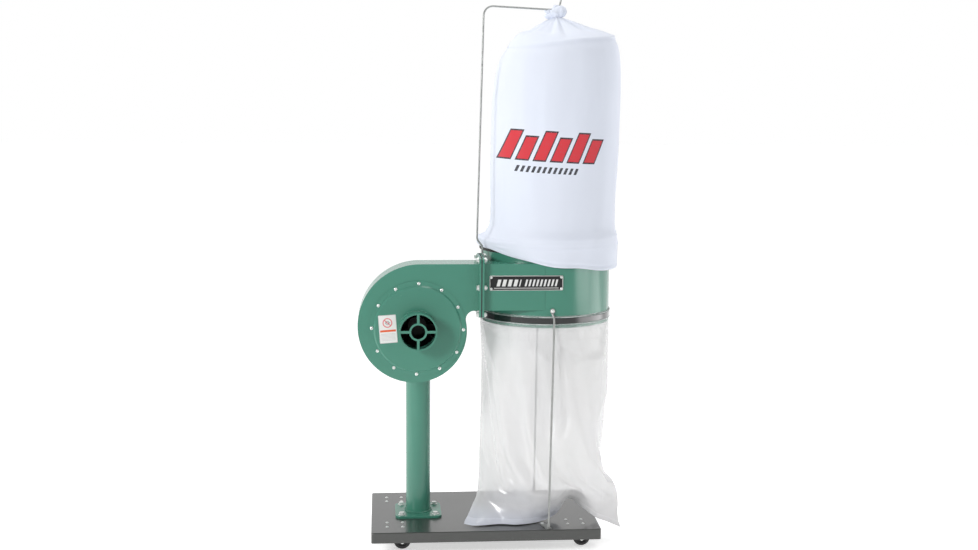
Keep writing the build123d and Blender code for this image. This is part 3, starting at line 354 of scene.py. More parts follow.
class Pattern(Nodes):
    def __init__(self, name, sizes):
        self.tree = bpy.data.node_groups.new(name, "GeometryNodeTree")
        self.sizes = sizes
        self.sockets = {}
        face = self.tree.interface
        face.new_socket("Geometry", in_out="INPUT", socket_type="NodeSocketGeometry")
        for key, value in sizes.items():
            kind = "Int" if isinstance(value, int) else "Float" if isinstance(value, float) else "Vector"
            socket = face.new_socket(key, in_out="INPUT", socket_type="NodeSocket" + kind)
            self.sockets[key] = socket.identifier
        face.new_socket("Geometry", in_out="OUTPUT", socket_type="NodeSocketGeometry")
        self.start = self.tree.nodes.new("NodeGroupInput")

    def ask(self, name):
        return Sock(self.tree, self.start.outputs[name])

    def moved(self, shape, **how):
        keys = {"by": "Translation", "turn": "Rotation", "scale": "Scale"}
        return self.node("GeometryNodeTransform", {}, {0: shape, **{keys[k]: v for k, v in how.items()}})

    def vector(self, x, y, z):
        return self.node("ShaderNodeCombineXYZ", {}, {0: x, 1: y, 2: z})

    def make(self, name, shape, material, base=None):
        shape = self.node("GeometryNodeRealizeInstances", {}, {0: shape})
        shape = self.node("GeometryNodeSetShadeSmooth", {}, {0: shape, "Shade Smooth": True})
        shape = self.node("GeometryNodeSetMaterial", {}, {0: shape, "Material": material})
        end = self.tree.nodes.new("NodeGroupOutput")
        self.tree.links.new(shape.out, end.inputs[0])
        obj = bpy.data.objects.new(name, base or bpy.data.meshes.new(name))
        bpy.context.scene.collection.objects.link(obj)
        pattern = obj.modifiers.new("pattern", "NODES")
        pattern.node_group = self.tree
        for key, value in self.sizes.items():
            pattern[self.sockets[key]] = value
        plainMesh(obj)
        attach(obj, "machine")
        return obj


coverScrews = {
    "sizes": {"count": 12, "circle": 0.1163, "head": 0.0044, "height": 0.0027, "seed": 4},
    "recess": 1.1,
    "turn": 88.6,  # degrees round the ring to the first screw
}
plateRivets = {"head": 0.0032, "rise": 0.0014}
columnWeld = {"count": 84, "radius": 0.0352, "bead": 0.0022}
portWeld = {"count": 120, "radius": 0.0486, "bead": 0.0016}
stitching = {"pitch": 0.0042, "thread": 0.00045, "fill": 0.72}


def domedHead(p, radius, height, recess):
    # pan head along +Z on its seat, with a cross recess where recess isn't 0
    ball = p.node("GeometryNodeMeshUVSphere", {}, {"Segments": 24, "Rings": 12, "Radius": radius})
    dome = p.moved(ball, scale=p.vector(1.0, 1.0, height / radius))
    room = p.node("GeometryNodeMeshCube", {}, {"Size": p.vector(radius * 3, radius * 3, radius * 2)})
    lid = p.moved(room, by=p.vector(0.0, 0.0, radius))
    head = p.node("GeometryNodeMeshBoolean", {"operation": "INTERSECT"}, {"Mesh 2": dome})
    boolean = head.out.node
    p.tree.links.new(lid.out, boolean.inputs["Mesh 2"])
    if recess == 0:
        return head
    slots = []
    for turn in (0, math.pi / 2):
        size = p.vector(radius * recess, radius * 0.26, radius)
        bar = p.node("GeometryNodeMeshCube", {}, {"Size": size})
        slots.append(p.moved(bar, by=p.vector(0.0, 0.0, height + radius * 0.22), turn=(0, 0, turn)))
    cut = p.node("GeometryNodeMeshBoolean", {"operation": "DIFFERENCE"}, {"Mesh 1": head})
    for bar in slots:
        p.tree.links.new(bar.out, cut.out.node.inputs["Mesh 2"])
    return cut


def makeCoverScrews(d):
    low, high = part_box("inlet_cover_screws")
    seat = low.y + d["sizes"]["height"]  # the heads' undersides, along Y
    middle = Vector(((low.x + high.x) / 2, 0, (low.z + high.z) / 2))
    p = Pattern("coverScrews", {**d["sizes"], "middle": middle, "seat": seat})
    head = domedHead(p, p.ask("head"), p.ask("height"), d["recess"])
    ring = p.node("GeometryNodeMeshCircle", {}, {"Vertices": p.ask("count"), "Radius": p.ask("circle")})
    quarter = {"Min": 0.0, "Max": 1.57, "Seed": p.ask("seed")}
    spin = p.node("FunctionNodeRandomValue", {"data_type": "FLOAT"}, quarter, out=1)
    heads = {"Points": ring, "Instance": head, "Rotation": p.vector(0.0, 0.0, spin)}
    screws = p.node("GeometryNodeInstanceOnPoints", {}, heads)
    upright = p.moved(screws, turn=(0, 0, math.radians(d["turn"])))
    upright = p.moved(upright, turn=(math.pi / 2, 0, 0))
    placed = p.moved(upright, by=p.ask("middle"))
    placed = p.moved(placed, by=p.vector(0.0, p.ask("seat"), 0.0))
    obj = p.make("coverScrewHeads", placed, finish["zinc"])
    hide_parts("inlet_cover_screws")


def makeRivets(d):
    low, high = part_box("nameplate_rivets")
    p = Pattern("plateRivets", {
        "width": high.x - low.x - 2 * d["head"], "height": high.z - low.z - 2 * d["head"],
        "head": d["head"], "rise": d["rise"],
        "middle": Vector(((low.x + high.x) / 2, low.y + d["rise"], (low.z + high.z) / 2)),
    })
    head = domedHead(p, p.ask("head"), p.ask("rise"), 0)
    corners = {"Size X": p.ask("width"), "Size Y": p.ask("height"), "Vertices X": 2, "Vertices Y": 2}
    spots = p.node("GeometryNodeMeshGrid", {}, corners)
    rivets = p.node("GeometryNodeInstanceOnPoints", {}, {"Points": spots, "Instance": head})
    placed = p.moved(p.moved(rivets, turn=(math.pi / 2, 0, 0)), by=p.ask("middle"))
    obj = p.make("plateRivetHeads", placed, finish["zinc"])
    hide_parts("nameplate_rivets")


def makeWeld(name, middle, axis, d):
    # overlapping ripples of a weld round a tube
    p = Pattern(name, {**d, "middle": middle, "seed": 7})
    ball = {"Segments": 10, "Rings": 6, "Radius": p.ask("bead")}
    ripple = p.node("GeometryNodeMeshUVSphere", {}, ball)
    ripple = p.moved(ripple, scale=(1.0, 0.8, 0.85), turn=(0, math.radians(35), 0))
    ring = p.node("GeometryNodeMeshCircle", {}, {"Vertices": p.ask("count"), "Radius": p.ask("radius")})
    turn = p.vector(0.0, 0.0, p.node("GeometryNodeInputIndex") * (2 * math.pi / d["count"]))
    uneven = {"Min": 0.85, "Max": 1.1, "Seed": p.ask("seed")}
    size = p.node("FunctionNodeRandomValue", {"data_type": "FLOAT"}, uneven, out=1)
    ripples = {"Points": ring, "Instance": ripple, "Rotation": turn, "Scale": p.vector(size, size, size)}
    beads = p.node("GeometryNodeInstanceOnPoints", {}, ripples)
    if axis == "Y":
        beads = p.moved(beads, turn=(math.pi / 2, 0, 0))
    obj = p.make(name, p.moved(beads, by=p.ask("middle")), finish["green_paint"])


def pathMesh(name, points, closed):
    mesh = bpy.data.meshes.new(name)
    count = len(points)
    mesh.from_pydata(points, [(i, (i + 1) % count) for i in range(count if closed else count - 1)], [])
    return mesh


def makeStitches(name, points, d, closed=True):
    # lockstitch along a path that lies on the cloth
    p = Pattern(name, {"pitch": d["pitch"], "thread": d["thread"], "length": d["pitch"] * d["fill"]})
    line = p.node("GeometryNodeMeshToCurve", {}, {0: Sock(p.tree, p.start.outputs[0])})
    line = p.node("GeometryNodeResampleCurve", {"mode": "LENGTH"}, {0: line, "Length": p.ask("pitch")})
    spots = p.node("GeometryNodeCurveToPoints", {"mode": "EVALUATED"}, {0: line})
    turn = Sock(p.tree, spots.out.node.outputs["Rotation"])
    ball = p.node("GeometryNodeMeshUVSphere", {}, {"Segments": 6, "Rings": 5, "Radius": p.ask("thread")})
    stretch = p.vector(1.0, 1.0, p.ask("length") / (p.ask("thread") * 2))
    stitch = p.moved(ball, scale=stretch)
    inputs = {"Points": spots, "Instance": stitch, "Rotation": turn}
    row = p.node("GeometryNodeInstanceOnPoints", {}, inputs)
    obj = p.make(name, row, finish["tiedFelt"], pathMesh(name, points, closed))


makeCoverScrews(coverScrews)
makeRivets(plateRivets)
tubeLow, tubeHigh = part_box("column_tube")
tubeX, tubeY = (tubeLow.x + tubeHigh.x) / 2, (tubeLow.y + tubeHigh.y) / 2
makeWeld("columnFootWeld", Vector((tubeX, tubeY, tubeLow.z + 0.0016)), "Z", columnWeld)
makeWeld("columnHeadWeld", Vector((tubeX, tubeY, tubeHigh.z - 0.0016)), "Z", columnWeld)
portLow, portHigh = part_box("inlet_port")
portX, portZ = (portLow.x + portHigh.x) / 2, (portLow.z + portHigh.z) / 2
makeWeld("portWeld", Vector((portX, portHigh.y - 0.0008, portZ)), "Y", portWeld)
print("screws, rivets and welds made")


# filter bag

filterBag = {
    "around": 264,
    "cuffRows": 26, "sideRows": 92, "topRows": 30,
    "hemX": 171.0, "hemZ": 768.5, "hemSlope": 0.153, "frontDrop": 13.0,
    "cuffRadius": 186.0, "cuffTop": 824.0,
    # height, middle along X, radius
    "side": ((824, 178, 174), (846, 181, 165), (880, 183, 163.5), (930, 184, 165), (1043, 186.5, 168.5),
             (1174, 189, 168.5), (1239, 192.5, 164.5), (1277, 194.5, 159.5), (1300, 196.5, 153),
             (1318, 198.5, 145), (1330, 200, 137)),
    "seamTilt": 14.0,  # how much higher the lid's seam is on the right
    "neck": (187.5, 1388.0, 12.0),
    "wall": 1.6,
    # gathered lumps over the tie: middle and half sizes
    "knot": (((185, 0, 1399), (22, 17, 15)), ((170, 5, 1393), (16, 12, 9)), ((197, -4, 1403), (15, 13, 16)),
             ((163, -3, 1404), (9, 8, 7)), ((187, 8, 1412), (12, 9, 9)), ((187, 0, 1390), (12, 12, 10))),
    # cord round the neck: turns, points in a turn, rise of a turn
    "tie": (3, 24, 2.1),
    # print: left edge, foot, width, height, drop to the right
    "print": (26.0, 1026.0, 252.0, 80.0, 0.05),
}


def bagFold(angle, z):
    # soft hanging folds
    c, s = math.cos(angle), math.sin(angle)
    broad = noise.fractal(Vector((c * 1.3 + 7, s * 1.3 + 2, z / 380)), 1.0, 2.0, 3)
    fine = noise.fractal(Vector((c * 3.6 + 3, s * 3.6 + 9, z / 240)), 1.0, 2.0, 2)
    return broad * 3.4 + fine * 1.6


def backSeam(a):
    # the lapped seam that closes the tube at the back, 10 mm wide
    return 1.6 * math.exp(-(((a - math.pi / 2) * 170 / 5) ** 4))


def bagHem(d, a):
    x = d["hemX"] + d["cuffRadius"] * math.cos(a)
    drop = d["frontDrop"] * max(0.0, -math.sin(a)) ** 1.5 + 5.0 * max(0.0, math.sin(a))
    wave = 1.8 * math.sin(5 * a + 1) + 1.1 * math.sin(9 * a)
    return d["hemZ"] - d["hemSlope"] * (x - d["hemX"]) - drop + wave


bandLow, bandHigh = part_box("filter_bag_snap_band")
bandX = ((bandLow.x + bandHigh.x) / 2 - home.x) * 1000
bandR = (bandHigh.x - bandLow.x) / 2 * 1000
bandTop = bandHigh.z * 1000


def cuffPoint(d, a, t, out=0.0):
    c, s = math.cos(a), math.sin(a)
    hem = bagHem(d, a)
    z = mix(hem, d["cuffTop"], t)
    front = max(0.0, -s)
    roll = ease(mix(0.66, 0.05, front), 1.0, t)
    below = d["cuffTop"] - z
    mx, r = d["hemX"], d["cuffRadius"] - 5.5 * max(0.0, -s)
    r -= 1.6 * math.exp(-(((z - hem - 9) / 2.4) ** 2))
    for drop, rise in ((13, 2.6), (25, 2.2)):
        r += rise * math.exp(-(((below - drop) / 3.2) ** 2)) * (0.7 + 0.3 * math.sin(3 * a + drop))
    sideX, sideR = curveOn(d["side"], d["cuffTop"])
    sideR += 9.0 * front
    mx = mix(mx, sideX, roll)
    r = mix(r, sideR, roll ** 1.6)
    r += bagFold(a, z) * 0.8 + 2.0 * math.sin(7 * a) * (1 - t) + backSeam(a)
    # the cloth stays outside the spring band that it hides
    aside = mx - bandX
    clear = math.sqrt((bandR + d["wall"] + 0.8) ** 2 - (aside * s) ** 2) - aside * c
    r = mix(max(r, clear), r, ease(bandTop + 3, bandTop + 15, z)) + out
    return at(mx + r * c, r * s, z)


def sidePoint(d, a, t, out=0.0):
    z = mix(d["cuffTop"], d["side"][-1][0], t)
    mx, r = curveOn(d["side"], z)
    r += 9.0 * max(0.0, -math.sin(a)) * math.exp(-(((z - d["cuffTop"]) / 110) ** 2)) + backSeam(a)
    r += bagFold(a, z) * ease(1.0, 0.93, t) ** 0.5 + out - 2.2 * math.exp(-(((t - 0.972) / 0.012) ** 2))
    return at(mx + r * math.cos(a), r * math.sin(a), z + seamRise(d, a) * ease(0.72, 1, t))


def seamRise(d, a):
    return d["seamTilt"] * math.cos(a) - 5.0 * max(0.0, -math.sin(a)) + 1.5 * math.sin(4 * a + 0.6)


def lidPoint(d, a, t):
    # the sewn lid, drawn up to the tied neck
    z0 = d["side"][-1][0] + seamRise(d, a)
    mx, r0 = d["side"][-1][1:]
    nx, nz, nr = d["neck"]
    r = mix(r0, nr, t)
    left = max(0.0, -math.cos(a))
    z = mix(z0, nz, mix(mix(t, t ** 1.5, 0.4), t ** 0.85, left))
    z += (9.0 * left + 3.0) * math.sin(math.pi * min(1.0, 2.2 * t)) * (1 - t)
    pleat = math.sin(9 * a + 2.0 * math.sin(a + 1)) + 0.5 * math.sin(17 * a)
    z += pleat * 2.6 * math.sin(math.pi * t) ** 0.8 * (0.35 + t)
    bulge = 1.6 * math.exp(-((t / 0.035) ** 2))
    return at(mix(mx, nx, t ** 1.2) + (r + bulge) * math.cos(a), (r + bulge) * math.sin(a), z)


def makeFilterBag(d):
    turns = around(d["around"])
    rows = [[cuffPoint(d, a, i / d["cuffRows"]) for a in turns] for i in range(d["cuffRows"])]
    rows += [[sidePoint(d, a, i / d["sideRows"]) for a in turns] for i in range(d["sideRows"])]
    rows += [[lidPoint(d, a, (i / d["topRows"]) ** 1.15) for a in turns] for i in range(d["topRows"] + 1)]
    return gridMesh("filterBag", rows)


def feltFinish(d, printed=True):
    f = Finish("needleFelt" if printed else "tiedFelt")
    tone = f.cloud(5, 3)
    cloth = f.blend(tone, (0.79, 0.83, 0.925), (0.74, 0.785, 0.89))
    if printed:
        x, y, z = f.parts(f.place())
        x0, z0, width, height, drop = (v / 1000 for v in d["print"])
        u = (x - (home.x + x0)) / width
        v = (z - z0 + (x - (home.x + x0)) * (drop * 1000)) / height
        lean = u - v * 0.13
        bar = (lean * 6).wrap()
        tall = 0.98 - ((lean * 6).whole() * 0.5).wrap() * 0.36
        inside = lean.between(0.0, 1.0) * y.below(home.y)
        edge = inside * bar.below(0.78) * v.above(0.0) * (tall - v).above(0.0)
        fill = edge * bar.between(0.07, 0.71) * v.above(0.05) * (tall - v).above(0.05)
        tick = (lean * 19).wrap().below(0.52) * lean.between(0.2, 0.84) * v.between(-0.36, -0.16)
        tick = tick * y.below(home.y)
        worn = f.cloud(420, 3, 0.7).step(0.3, 0.5, 0.75, 1.0)
        cloth = f.blend(edge * worn, cloth, (0.045, 0.03, 0.04))
        cloth = f.blend(fill * worn, cloth, (0.69, 0.045, 0.06))
        cloth = f.blend(tick * worn, cloth, (0.05, 0.05, 0.06))
    f.skin.inputs["Sheen Weight"].default_value = 0.2
    weave = f.cloud(620, 2, 0.5, (1, 1, 2.0)) * 0.4 + f.cloud(1500, 4, 0.7) * 0.6
    return f.set(Base_Color=cloth, Roughness=0.88 + tone * 0.08, Normal=f.bump(weave, 0.0005, 0.5))


def makeKnot(d):
    # gathered cloth above the tie, over the hook
    bm = bmesh.new()
    for spot, size in d["knot"]:
        ball = bmesh.ops.create_icosphere(bm, subdivisions=4, radius=0.001)
        for v in ball["verts"]:
            v.co = at(*spot) + Vector([c * s for c, s in zip(v.co, size)])
    mesh = bpy.data.meshes.new("bagKnot")
    bm.to_mesh(mesh)
    bm.free()
    obj = bpy.data.objects.new("bagKnot", mesh)
    bpy.context.scene.collection.objects.link(obj)
    skin = obj.modifiers.new("skin", "REMESH")
    skin.mode = "VOXEL"
    skin.voxel_size = 0.0011
    soft = obj.modifiers.new("soft", "SMOOTH")
    soft.iterations = 6
    plainMesh(obj)
    centre = at(*d["neck"][:1], 0, d["neck"][1])
    for v in obj.data.vertices:
        out = v.co - centre
        turn = math.atan2(out.y, out.x)
        fold = noise.fractal(Vector((math.cos(turn) * 2.2, math.sin(turn) * 2.2, out.z * 30)), 1.0, 2.0, 3)
        crease = 1 - abs(noise.noise(v.co * 95 + Vector((4, 1, 8))))
        v.co += out.normalized() * (fold * 0.0022 + (crease - 0.8) * 0.0035)
    obj.data.materials.clear()
    obj.data.materials.append(finish["tiedFelt"])
    obj.data.shade_smooth()
    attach(obj, "machine")


def makeTie(d):
    nx, nz, nr = d["neck"]
    turns, steps, rise = d["tie"]
    points = []
    for i in range(turns * steps + 1):
        a = 2 * math.pi * i / steps
        z = nz - 2.4 + rise * i / steps
        points.append(at(nx + (nr + 0.8) * math.cos(a), (nr + 0.8) * math.sin(a), z))
    p = Pattern("neckTie", {"thread": 0.0011})
    line = p.node("GeometryNodeMeshToCurve", {}, {0: Sock(p.tree, p.start.outputs[0])})
    ring = p.node("GeometryNodeCurvePrimitiveCircle", {}, {"Resolution": 10, "Radius": p.ask("thread")})
    inputs = {"Curve": line, "Profile Curve": ring, "Fill Caps": True}
    cord = p.node("GeometryNodeCurveToMesh", {}, inputs)
    obj = p.make("neckTie", cord, finish["tiedFelt"], pathMesh("neckTie", points, False))


finish["felt"] = feltFinish(filterBag)
finish["tiedFelt"] = feltFinish(filterBag, False)
bag = addObject("filterBagCloth", makeFilterBag(filterBag), finish["felt"])
wall = bag.modifiers.new("wall", "SOLIDIFY")
wall.thickness = filterBag["wall"] / 1000
wall.offset = -1
plainMesh(bag)
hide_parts("filter_bag")
makeKnot(filterBag)
makeTie(filterBag)
stitchRows = (
    ("hemStitches", cuffPoint, 0.13, 0.1), ("cuffStitches", cuffPoint, 0.60, 0.1),
    ("lidStitches", sidePoint, 0.985, 0.2),
)
for name, place, height, out in stitchRows:
    makeStitches(name, [place(filterBag, a, height, out) for a in around(240)], stitching)
for name, away in (("seamStitchesRight", -0.021), ("seamStitchesLeft", 0.021)):
    a = math.pi / 2 + away
    path = [sidePoint(filterBag, a, i / 120, 0.3) for i in range(118)]
    makeStitches(name, path, stitching, False)
print("filter bag", len(bag.data.polygons), "faces")


# dust bag

dustBag = {
    "around": 144, "rows": 92, "hemRows": 5,
    "hemTop": 628.0, "hemFoot": 588.0, "hemX": 164.2, "hemRadius": 172.4, "floor": 66.6,
    "girth": 1075, "lowest": 30,
    # height: left, right, front and back edge
    "outline": ((588, -8.2, 336.6, -172.4, 172.4), (540, -3, 340, -169, 169), (481, -1, 341, -166, 164),
                (371, -3, 329, -162, 154), (280, -7, 324, -158, 141), (205, -10, 334, -154, 127),
                (149, -12, 354, -151, 114), (100, -14, 362, -146, 104), (66, -16, 348, -140, 98)),
    # sealed edge from the left corner, lifted between the deck and the corner that hangs over its edge
    "seal": ((0.0, -59, -122, 67), (0.07, -29, -140, 67), (0.2, 38, -130, 67), (0.29, 85, -138, 67),
             (0.41, 147, -114, 67), (0.52, 195, -84, 80), (0.6, 226, -66, 113), (0.69, 262, -84, 94),
             (0.8, 298, -104, 71), (0.88, 322, -97, 60), (1.0, 370, -80, 35)),
    "twist": -8.0,
    "frames": 34,
    "slack": 0.02,
    # creases left by handling: turn and height at each end, rise, width
    # the turn is 0.5 at the left, 0.75 in front and 1 at the right
    "creases": ((0.57, 575, 0.70, 330, 6.0, 9), (0.60, 590, 0.68, 470, -4.0, 12),
                (0.715, 545, 0.765, 495, 6.0, 9), (0.77, 560, 0.835, 505, -6.0, 11),
                (0.835, 505, 0.93, 500, 4.5, 7), (0.93, 560, 0.86, 420, 5.0, 12),
                (0.97, 430, 0.84, 300, 5.0, 14), (0.86, 330, 0.80, 150, -6.0, 12),
                (0.55, 300, 0.62, 130, 5.0, 12), (0.62, 210, 0.70, 120, -4.0, 10),
                (0.93, 250, 0.84, 150, 6.0, 10), (0.97, 190, 0.90, 90, -5.0, 9),
                (0.30, 520, 0.22, 260, 7.0, 16), (0.12, 480, 0.24, 330, -6.0, 14),
                (0.42, 400, 0.34, 200, 6.0, 14)),
}


def ringPoint(d, a, z):
    left, right, front, back = curveOn(d["outline"], z)
    half = abs(front) if math.sin(a) < 0 else back
    return Vector(((left + right) / 2 + (right - left) / 2 * math.cos(a), half * math.sin(a), z))


def wallPath(d, a, s, seal, start):
    # straight down the ring outlines, then over to the sealed edge
    z = mix(d["hemFoot"], seal.z, s)
    w = max(0.0, (s - start) / (1 - start)) ** 1.7
    return ringPoint(d, a, z).lerp(Vector((seal.x, seal.y, z)), w)


def dustPoint(d, a, s):
    u = 1 - a / math.pi if a <= math.pi else a / math.pi - 1
    seal = Vector(curveOn(d["seal"], u))
    start = mix(0.80, 0.46, ease(0.55, 1.0, u))
    front = wallPath(d, a, s, seal, start)
    if a >= math.pi or a == 0:
        return front
    lifted = wallPath(d, a, s, seal, 0.3)
    if s < 0.7:
        laid = ringPoint(d, a, mix(d["hemFoot"], d["floor"] + 1, s / 0.7))
    else:
        laid = ringPoint(d, a, d["floor"] + 1).lerp(seal, (s - 0.7) / 0.3)
    back = laid.lerp(lifted, ease(0.36, 0.56, u))
    return front.lerp(back, ease(0.05, 0.45, math.sin(a)))


def makeDustBag(d):
    turns = around(d["around"])
    rows = []
    for i in range(d["hemRows"]):
        z = mix(d["hemTop"], d["hemFoot"], i / d["hemRows"])
        r = d["hemRadius"]
        rows.append([at(d["hemX"] + r * math.cos(a), r * math.sin(a), z) for a in turns])
    for i in range(d["rows"] + 1):
        rows.append([at(*dustPoint(d, a, i / d["rows"])) for a in turns])
    return gridMesh("dustBag", rows)


def hangFilm(obj, d):
    # cloth run: the hem and the sealed edge are held, the sack between them creases under its own weight
    count = d["around"]
    hem = (d["hemRows"] + 1) * count
    last = len(obj.data.vertices) - count
    held = obj.vertex_groups.new(name="held")
    held.add([*range(hem), *range(last, last + count)], 1.0, "REPLACE")
    for i in range(hem, last):
        held.add([i], 0.25 * ease(0.24, 0.10, obj.data.vertices[i].co.z), "REPLACE")
    obj.shape_key_add(name="flat")
    key = obj.shape_key_add(name="turned")
    turn = Matrix.Rotation(math.radians(d["twist"]), 3, "Z")
    middle = at(d["hemX"], 0, 0)
    for i in range(hem):
        key.data[i].co = middle + turn @ (obj.data.vertices[i].co - middle)
    key.value = 0
    key.keyframe_insert("value", frame=1)
    key.value = 1
    key.keyframe_insert("value", frame=int(d["frames"] * 0.6))
    slab = bpy.data.objects.new("slab", nodes["base_plate"].data.copy())
    bpy.context.scene.collection.objects.link(slab)
    slab.modifiers.new("hit", "COLLISION")
    slab.collision.thickness_outer = 0.002
    slab.collision.cloth_friction = 10
    cloth = obj.modifiers.new("cloth", "CLOTH")
    s = cloth.settings
    s.quality = 7
    s.mass = 0.1
    s.air_damping = 1.5
    s.tension_stiffness = 25
    s.compression_stiffness = 12
    s.shear_stiffness = 12
    s.bending_stiffness = 0.12
    s.tension_damping = s.compression_damping = s.shear_damping = 8
    s.bending_damping = 0.5
    s.shrink_min = s.shrink_max = -d["slack"]
    s.vertex_group_mass = "held"
    cloth.collision_settings.distance_min = 0.002
    cloth.point_cache.frame_start, cloth.point_cache.frame_end = 1, d["frames"]
    scene = bpy.context.scene
    scene.frame_start, scene.frame_end = 1, d["frames"]
    for i in range(1, d["frames"] + 1):
        scene.frame_set(i)
    made = bpy.data.meshes.new_from_object(obj.evaluated_get(bpy.context.evaluated_depsgraph_get()))
    obj.modifiers.clear()
    obj.shape_key_clear()
    for v, w in zip(obj.data.vertices, made.vertices):
        v.co = w.co
    obj.vertex_groups.clear()
    bpy.data.meshes.remove(made)
    bpy.data.objects.remove(slab)
    scene.frame_set(1)


def creaseFilm(obj, d):
    count = d["around"]
    first = (d["hemRows"] + 2) * count
    shifts = []
    for i, v in enumerate(obj.data.vertices):
        turn = (i % count) / count
        z = v.co.z * 1000
        rise = 0.0
        if first < i < len(obj.data.vertices) - 2 * count:
            for t0, z0, t1, z1, high, wide in d["creases"]:
                # distance from the crease on the unrolled wall, in mm
                dx, dz = (t1 - t0) * d["girth"], z1 - z0
                px, pz = (turn - t0) * d["girth"], z - z0
                along = (px * dx + pz * dz) / (dx * dx + dz * dz)
                away = (px * dz - pz * dx) / math.hypot(dx, dz)
                away += 5 * noise.noise(Vector((along * 3, t0 * 40, 2)))
                fade = ease(-0.12, 0.2, along) * ease(1.12, 0.8, along)
                fall = away / wide if away > 0 else (away / (wide * 1.9)) ** 2  # sharp on one side
                rise += high * fade * math.exp(-fall)
            rise += 1.2 * noise.fractal(v.co * 16, 1.0, 2.0, 3)
        shifts.append(v.normal * (rise / 1000))
    for v, shift in zip(obj.data.vertices, shifts):
        v.co += shift
    bm = bmesh.new()
    bm.from_mesh(obj.data)
    bm.verts.ensure_lookup_table()
    loose = bm.verts[first:len(bm.verts) - 2 * count]
    for i in range(3):
        bmesh.ops.smooth_vert(bm, verts=loose, factor=0.5, use_axis_x=True, use_axis_y=True, use_axis_z=True)
    bm.to_mesh(obj.data)
    bm.free()


def settleFilm(obj, d):
    # keeps the film off the deck and the floor
    deckTop = deckHigh.z + 0.0012
    for v in obj.data.vertices:
        onDeck = deckLow.x - 0.002 < v.co.x < deckHigh.x + 0.002 and deckLow.y < v.co.y < deckHigh.y
        v.co.z = max(v.co.z, deckTop if onDeck else d["lowest"] / 1000)


def filmFinish(d):
    f = Finish("clearFilm")
    x, y, z = f.parts(f.place())
    u, v = f.parts(f.place("UV"))[:2]
    tone = f.cloud(6, 3)
    milky = z.step((d["hemFoot"] - 6) / 1000, (d["hemFoot"] + 16) / 1000, 0.5, 0.22) + tone * 0.1
    sealed = v.above(0.975) * 0.12 + z.step(0.074, 0.13, 0.26, 0.0)
    packed = foldLine(v * 5.0) + foldLine(u * 8.0 + 0.2)  # creases from its packet
    filmOwnColour = f.blend(tone.step(0.3, 0.7), (0.795, 0.788, 0.79), (0.765, 0.76, 0.775))
    # where the film lies low on the deck it gets a darker bluish base colour, painted bluish shade
    lifted = (z.step(0.07, 0.12) + x.step(home.x + 0.2, home.x + 0.25)).math("MINIMUM", 1.0)
    f.skin.inputs["Specular IOR Level"].default_value = 0.8
    return f.set(
        Base_Color=f.blend(lifted, (0.72, 0.745, 0.83), filmOwnColour),
        Roughness=0.12 + tone * 0.14,
        Alpha=milky + sealed,
        Normal=f.bump(packed * 0.5 + f.cloud(38, 4, 0.6, (1, 1, 0.5)), 0.0015, 0.5),
    )


def foldLine(along):
    # a thin line wherever a whole number and a half is passed
    return (along.wrap() - 0.5).size().step(0.0, 0.012, 1.0, 0.0)


def makeHemRolls(d):
    # the film gathers into a thin roll above and below the band
    low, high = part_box("dust_bag_clamp_band")
    for name, z, seed in (("hemRollUpper", high.z + 0.0016, 1), ("hemRollLower", low.z - 0.0016, 2)):
        points = []
        for a in around(180):
            r = d["hemRadius"] + 1.5 + 0.5 * noise.noise(Vector((math.cos(a) * 6, math.sin(a) * 6, seed)))
            spot = at(d["hemX"] + r * math.cos(a), r * math.sin(a), 0)
            spot.z = z + 0.0008 * noise.noise(Vector((math.cos(a) * 4, math.sin(a) * 4, seed + 5)))
            points.append(spot)
        p = Pattern(name, {"roll": 0.0012})
        line = p.node("GeometryNodeMeshToCurve", {}, {0: Sock(p.tree, p.start.outputs[0])})
        ring = p.node("GeometryNodeCurvePrimitiveCircle", {}, {"Resolution": 8, "Radius": p.ask("roll")})
        tube = p.node("GeometryNodeCurveToMesh", {}, {"Curve": line, "Profile Curve": ring})
        obj = p.make(name, tube, finish["filmRoll"], pathMesh(name, points, True))


def rollFinish():
    f = Finish("filmRoll")
    tone = f.cloud(22, 3)
    f.skin.inputs["Specular IOR Level"].default_value = 0.8
    return f.set(
        Base_Color=f.blend(tone, (0.62, 0.68, 0.66), (0.82, 0.86, 0.85)),
        Roughness=0.12 + tone * 0.1,
        Alpha=tone.step(0.35, 0.6, 0.25, 0.85),
    )


finish["film"] = filmFinish(dustBag)
finish["filmRoll"] = rollFinish()
film = addObject("dustBagFilm", makeDustBag(dustBag), finish["film"])
hangFilm(film, dustBag)
creaseFilm(film, dustBag)
settleFilm(film, dustBag)
fine = film.modifiers.new("fine", "SUBSURF")
fine.levels = fine.render_levels = 1
plainMesh(film)
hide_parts("dust_bag")
makeHemRolls(dustBag)
print("dust bag", len(film.data.polygons), "faces")


# plate and label

plate = {"border": 0.045, "bars": 13, "corner": 2.5}
label = {"width": 45.0, "height": 72.0, "turn": 4.0, "corner": 2.2}


